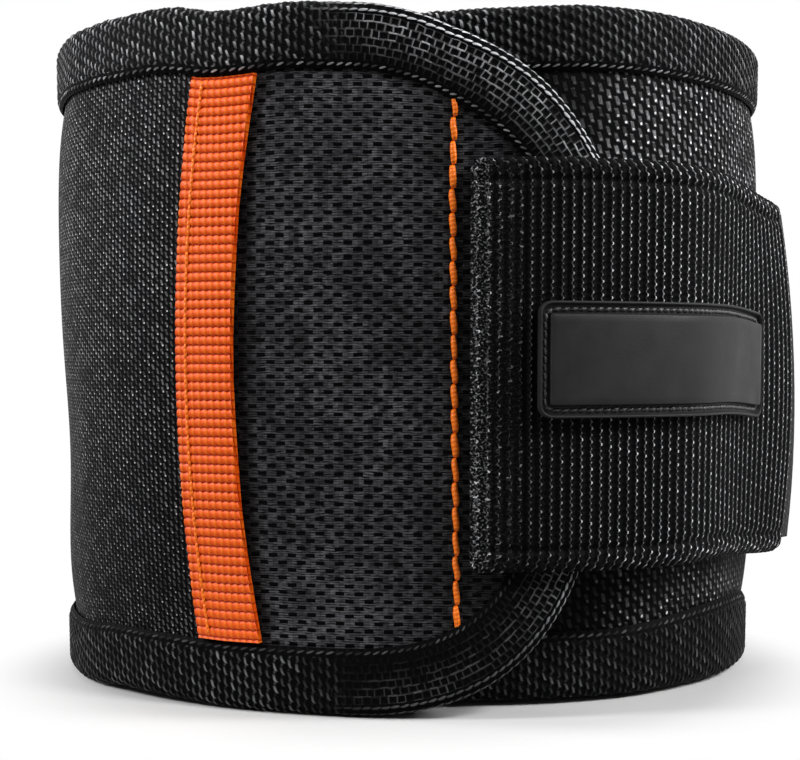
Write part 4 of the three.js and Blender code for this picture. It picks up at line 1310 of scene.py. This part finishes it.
def pad(name, distances, edges):
    levels = eased(PAD_ROWS)
    low, high = (edge[:, None] for edge in edges(distances))
    lengthwise = eased(len(distances))[:, None]
    pinch = (1 - np.abs(levels) ** 6) * (1 - np.abs(lengthwise) ** 12)
    thick = CORE_THICKNESS / 2 * (0.35 + 0.65 * pinch)
    middle_depth = CORE_DEPTH + CORE_THICKNESS / 2
    s = np.repeat(distances[:, None], PAD_ROWS, 1)
    z = low + (high - low) * (levels + 1) / 2
    outer = on_band(s, middle_depth - thick - swell_at(s, z), z)
    inner = on_band(s, middle_depth + thick, z)[:, ::-1]
    places = np.stack([np.concatenate([s, s], 1), np.concatenate([z, z[:, ::-1]], 1),
                       np.zeros((len(distances), 2 * PAD_ROWS))], -1)
    return solid(name, np.concatenate([outer, inner], 1), places, PAD_ROWS, foam, 80)


first_join, second_join = (band_line.at(angle) for angle in PAD_JOIN_ANGLES)
tip_turn = np.linspace(0, PAD_TIP_SHARE * np.pi / 2, PAD_TIP_STEPS)
tip_places = ROUND_START + (TIP - ROUND_START - PROUD) * np.sin(tip_turn)
tip_places = np.concatenate([
    [STITCH_LINE + CLEARANCE], tip_places[tip_places > STITCH_LINE + 1.0]])
for name, distances, edges, node, body in (
    ("pad_front_right", hidden_end_distances(first_join - gap, PAD_STEP), band_edges,
     "front_right_pad", "band"),
    ("pad_back_right", even(first_join + gap, second_join - gap, PAD_STEP), band_edges,
     "back_right_pad", "band"),
    ("pad_back_left", even(second_join + gap, SEAM - gap, PAD_STEP), band_edges,
     "back_left_pad", "band"),
    ("pad_tip", tip_places, flap_edges, "flap_tip_pad", "flap"),
):
    piece = pad(name, distances, edges)
    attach(piece, body)
    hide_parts(node)


# ---- what each piece rides on, replaces and is

FLAP_BLEND = ("band", "flap", dict(start=(-0.0555, 0.0046, 0.045), end=(-0.0555, -0.0094, 0.045)))
STRAP_BLEND = ("flap", "strap",
               dict(start=(0.0087, -0.05145, 0.045), end=(0.0137, -0.05145, 0.045)))

for piece, body, slot, nodes in (
    (loop_shell, "band", "loop_fabric", ["loop_panel"]),
    (wrap_shell, FLAP_BLEND, "loop_fabric", ["back_panel", "side_panel"]),
    (front_shell, "flap", "ballistic_fabric", ["front_panel"]),
    (lining_right, "band", "lining_mesh", ["band_lining"]),
    (lining_wrap, FLAP_BLEND, "lining_mesh", ["band_lining", "flap_lining"]),
    (binding_right, "band", "binding_fabric", ["band_edge_binding"]),
    (binding_back_top, "band", "binding_fabric", ["band_edge_binding"]),
    (binding_back_foot, "band", "binding_fabric", ["band_edge_binding"]),
    (binding_flap, FLAP_BLEND, "binding_fabric", ["band_edge_binding", "flap_edge_binding"]),
    (tape, "flap", "orange_webbing", ["orange_tape"]),
    (tape_stitches, "flap", "orange_webbing", []),
    (front_stitches, "flap", "orange_webbing", []),
    (side_stitches, FLAP_BLEND, "orange_webbing", []),
    (strap, STRAP_BLEND, "webbing", ["strap_sewn_end", "strap_tail"]),
    (hook_sheet, "strap", "hook_tape", ["hook_strip"]),
    (patch, "strap", "patch_rubber", ["rubber_patch"]),
    (patch_stitches, "strap", None, []),
):
    if isinstance(body, str):
        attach(piece, body)
    else:
        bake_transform(piece)
    if nodes:
        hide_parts(*nodes)

for name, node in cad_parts.items():
    if name.startswith("magnet_"):
        node.data.materials.clear()
        node.data.materials.append(
            carrier_plastic if name.startswith("magnet_strip") else magnet_nickel
        )


# ---- floor, light and camera

FLOOR_HALF = 6.0
WORLD_LEVEL = 0.2
SHADOW_REACH = (58.0, 68.0)
SHADOW_MIDDLE = (RING_CENTRE[0], -5.0)
LAMPS = [
    ("key", (0.3, -0.28, 0.38), (0.0, 0.0, 0.045), (0.12, 0.12), 1.6),
    ("side", (0.42, -0.08, 0.26), (0.04, -0.02, 0.05), (0.08, 0.2), 2.0),
    ("fill", (-0.42, -0.17, 0.3), (-0.02, 0.0, 0.05), (0.12, 0.12), 2.0),
    ("rim", (-0.42, 0.06, 0.26), (-0.04, -0.02, 0.05), (0.08, 0.2), 0.9),
    ("top", (0.0, 0.05, 0.6), (0.0, 0.0, 0.05), (0.3, 0.2), 1.8),
]
CAMERA_PLACE = (-4.14, -286.906, 45.5)
FOCAL_LENGTH = 85.6
HORIZON_SHIFT = -24.5 / 800


def linked(name, data):
    made = bpy.data.objects.new(name, data)
    bpy.context.scene.collection.objects.link(made)
    return made


def stage_floor():
    """A floor that takes the object's shadow, greyer near the object as a painted shadow, and turns
    into the white background further out.
    """
    mesh = bpy.data.meshes.new("floor")
    corners = [(x * FLOOR_HALF, y * FLOOR_HALF, 0) for x, y in ((-1, -1), (1, -1), (1, 1), (-1, 1))]
    mesh.from_pydata(corners, [], [(0, 1, 2, 3)])
    floor = linked("floor", mesh)
    graph = material_graph("floor")
    place = graph.object_place()
    speck = graph.noise(place, 0.02)
    # Painted shadow: near the object the floor is greyer than the white further out
    colour = graph.mix(speck.ramp(0.3, 0.7), srgb(194, 194, 194), srgb(198, 198, 198))
    near = graph.node("BsdfDiffuse", {"Color": colour})
    far = graph.node("Emission", {"Strength": graph.seen(WORLD_LEVEL, 1.0)})
    x, y, _ = graph.parts(place)
    away = (((x - SHADOW_MIDDLE[0]) / SHADOW_REACH[0]).squared()
            + ((y - SHADOW_MIDDLE[1]) / SHADOW_REACH[1]).squared()).root()
    both = graph.node("MixShader", {0: away.ramp(0.76, 1.1), 1: near, 2: far})
    graph.node("OutputMaterial", {0: both})
    mesh.materials.append(graph.owner)


def world_light():
    world = bpy.data.worlds.new("studio")
    bpy.context.scene.world = world
    graph = Graph(world)
    level = graph.seen(WORLD_LEVEL, 1.0)
    background = graph.node("Background", {"Color": (1, 1, 1, 1), "Strength": level})
    graph.node("OutputWorld", {0: background})


def lamp(name, place, target, size, power):
    data = bpy.data.lights.new(name, "AREA")
    data.shape = "RECTANGLE"
    data.size, data.size_y = size
    data.energy = power
    made = linked(name, data)
    made.location = place
    direction = Vector(target) - Vector(place)
    made.rotation_euler = direction.to_track_quat("-Z", "Y").to_euler()


stage_floor()
world_light()
for settings in LAMPS:
    lamp(*settings)

camera_data = bpy.data.cameras.new("camera")
camera_data.lens = FOCAL_LENGTH
camera_data.sensor_width = 36
camera_data.shift_y = HORIZON_SHIFT
camera = linked("camera", camera_data)
camera.location = tuple(value * MM for value in CAMERA_PLACE)
camera.rotation_euler = (math.pi / 2, 0, 0)
bpy.context.scene.camera = camera
bpy.context.scene.view_settings.view_transform = "Standard"
